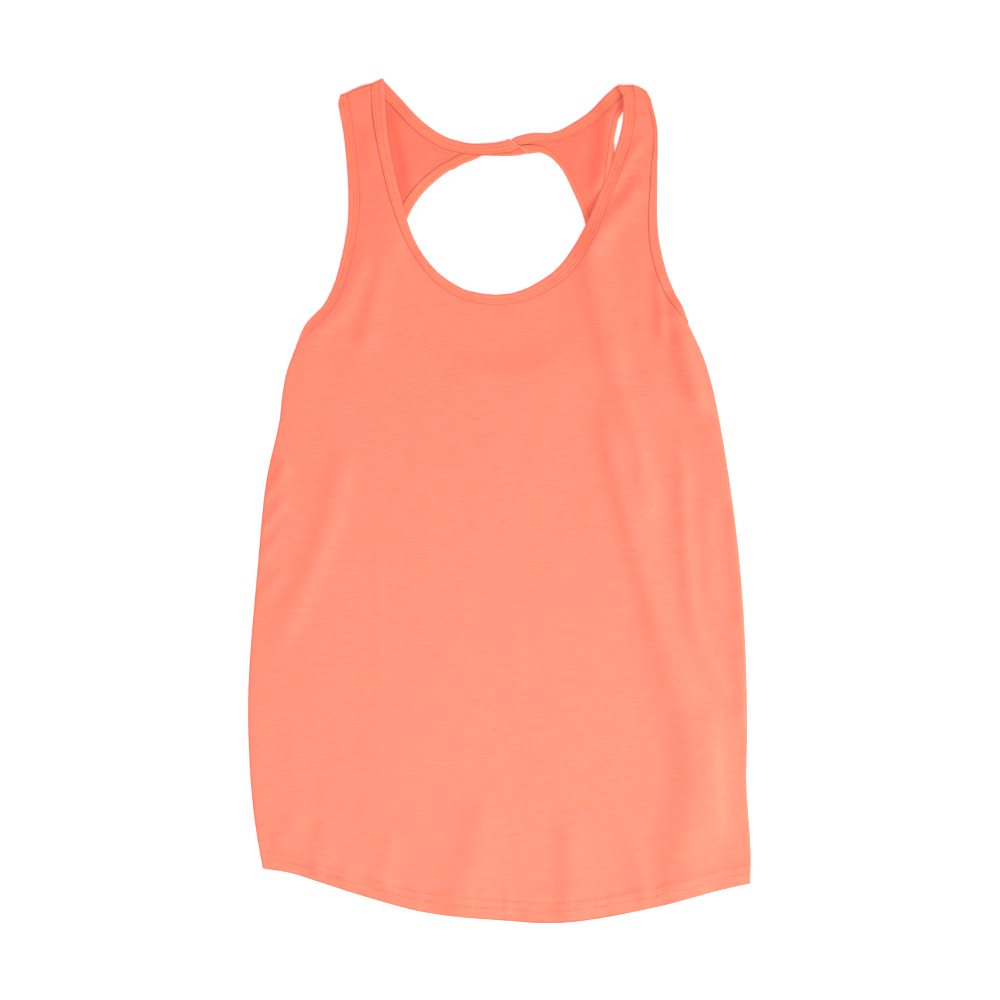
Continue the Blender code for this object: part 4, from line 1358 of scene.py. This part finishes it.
for name, neck_part, twist_table, keyhole_part, facing, node in (
    (
        "back_binding_over",
        neck_edges(LEFT_SHOULDER, -1, LEFT, OVER_TWIST[0].seam[0] - TWIST_GAP),
        OVER_TWIST,
        keyhole_edges(RIGHT_KEYHOLE, 1, OVER_TWIST[-1].seam[0] + TWIST_GAP),
        -1,
        "back_band_over",
    ),
    (
        "back_binding_under",
        neck_edges(RIGHT_SHOULDER, 1, RIGHT, UNDER_TWIST[0].seam[0] + TWIST_GAP),
        UNDER_TWIST,
        keyhole_edges(LEFT_KEYHOLE, -1, UNDER_TWIST[-1].seam[0] - TWIST_GAP),
        1,
        "back_band_under",
    ),
):
    twist_rows = smooth_rows([row.seam + row.bend + row.free for row in twist_table], TWIST_COUNT)
    seam_side = neck_part[0] + [tuple(row[:3]) for row in twist_rows] + keyhole_part[0]
    free_side = neck_part[1] + [tuple(row[6:]) for row in twist_rows] + keyhole_part[1]
    bends = middles(*neck_part) + [tuple(row[3:6]) for row in twist_rows] + middles(*keyhole_part)
    line = stations(seam_side, free_side, facing, bends)
    binding, stitches = bind(name, name + "_stitches", line, back_binding_painted_shade, (1, -1), node)

# Two pale loose thread ends, caught where the bindings cross
ThreadEnd = namedtuple("ThreadEnd", "x y z")
THREAD_ENDS = (
    (ThreadEnd(6.4, 311.0, 2.9), ThreadEnd(9.4, 309.3, 3.5), ThreadEnd(12.8, 307.0, 3.8)),
    (
        ThreadEnd(16.0, 305.0, 3.8),
        ThreadEnd(19.2, 302.7, 3.0),
        ThreadEnd(22.6, 300.8, 2.5),
        ThreadEnd(25.6, 299.8, 2.1),
        ThreadEnd(28.6, 299.4, 1.9),
    ),
)
THREAD_STEPS = 16
THREAD_SIDES = 8
THREAD_TIP = 0.4
UP = Vector((0.0, 0.0, 1.0))


def add_thread(bm, path, radius):
    """A closed round thread along a smooth path, thin at its ends."""
    points = [Vector(p) for p in smooth_rows(path, THREAD_STEPS)]
    rows = []
    for i, point in enumerate(points):
        along = (points[min(i + 1, THREAD_STEPS)] - points[max(i - 1, 0)]).normalized()
        side = along.cross(UP).normalized()
        up = side.cross(along)
        reach = radius * (1.0 if 0 < i < THREAD_STEPS else THREAD_TIP)
        angles = [math.tau * step / THREAD_SIDES for step in range(THREAD_SIDES + 1)]
        rows.append([point + (side * math.cos(a) + up * math.sin(a)) * reach for a in angles])
    close_tube(bm, add_patch(bm, rows))


bm = bmesh.new()
for path in THREAD_ENDS:
    add_thread(bm, path, THREAD)
make_piece("twist_threads", bm, polyester_thread("pale_polyester_thread", "#ffb89c", "#ffcdb8"))

# ---- Back armhole bindings ---------------------------------------------------------------------------
# The back halves of the armhole bindings, from the side seams over the shoulders. They lie under the front
# straps and show only beside the right one.

LEAST_BINDING = 1.5

for name, keyhole, shoulder_table, side, shoulder, cloth_area, node in (
    ("arm_binding_back_left", LEFT_KEYHOLE, LEFT_SHOULDER, 1, LEFT, 0.0021, "arm_band_back_left"),
    ("arm_binding_back_right", RIGHT_KEYHOLE, RIGHT_SHOULDER, -1, RIGHT, 0.0016, "arm_band_back_right"),
):
    low, low_widths, _, _ = wing_lines(keyhole, WING_ROWS)
    high, high_widths, _, _ = wing_lines(shoulder_table, SHOULDER_ROWS)
    points, widths = low + high[1:], low_widths + high_widths[1:]
    first = next(i for i, width in enumerate(widths) if width > LEAST_BINDING)
    close, free = (lifted(edge[first:-1], BAND_HALF) for edge in band_edges(points, widths, side))
    close += over_shoulder(beside(shoulder.arm_seam, shoulder.arm_free), BAND_HALF)
    free += over_shoulder(shoulder.arm_free, BAND_HALF)
    line = stations(close, free, -side)
    binding, stitches = bind(
        name, name + "_stitches", line, back_binding_painted_shade, (1, -1), node, FIRST_STITCH
    )

# ---- Hem stitching -----------------------------------------------------------------------------------
# Two rows of spun polyester thread hold each turned-up hem. They run level with its edge, sewn from the
# outside, and pull the jersey into fine puckers.

HEM_SAMPLES = 360


def hem_row(drops, ends, distance, face, sunk):
    """Points along a panel at a distance from its hem, each sunk a little into the panel's face."""
    fractions = [i / HEM_SAMPLES for i in range(HEM_SAMPLES + 1)]
    row = outline_rows(drops, fractions, [distance], *ends)[0]
    return [Vector((x, y, face(x, y, distance) - sunk * THREAD)) for x, y in row]


def sew_line(bm, points, normal, pitch):
    """Stitches along points of a surface that faces the normal, each midway between two needle holes."""
    points = sorted(points, key=lambda point: point.x)
    for before, after in zip(points, points[1:]):
        place = (math.ceil(before.x / pitch - 0.5) + 0.5) * pitch
        while place < after.x:
            if points[0].x + pitch < place < points[-1].x - pitch:
                share = (place - before.x) / (after.x - before.x)
                add_stitch(bm, before.lerp(after, share), after - before, normal)
            place += pitch


for name, drops, ends, face, sunk, normal in (
    ("hem_stitches_front", front_drops, front_ends, front_face, 0.2, UP),
    ("hem_stitches_back", back_drops, back_ends, back_face, 0.1, -UP),
):
    bm = bmesh.new()
    for distance in HEM_ROWS:
        sew_line(bm, hem_row(drops, ends, distance, face, sunk), normal, HEM_PITCH)
    make_piece(name, bm, thread_material)

# ---- Shoulder seams ----------------------------------------------------------------------------------
# Each shoulder seam joins the front strap to the back just below the fold. It is pressed towards the back
# and held there by two rows of the same polyester thread.

bm = bmesh.new()
for shoulder in (LEFT, RIGHT):
    out = outward(shoulder)
    for offset in SHOULDER_ROWS_OUT:
        ends = []
        for lane in (shoulder.arm_seam, shoulder.neck_seam):
            to_fold = Vector((lane.fold_x - lane.seam_x, lane.fold_y - lane.seam_y))
            step = to_fold * offset / out.dot(to_fold)
            past = min(max(step.length - to_fold.length + SHOULDER_ROLL, 0.0), SHOULDER_ROLL)
            rise = SHOULDER_ROLL + math.sqrt(SHOULDER_ROLL**2 - past**2)
            ends.append(Vector((lane.seam_x + step.x, lane.seam_y + step.y, rise)))
        sew_line(bm, ends, UP, PITCH)
make_piece("shoulder_stitches", bm, thread_material)

low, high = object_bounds()
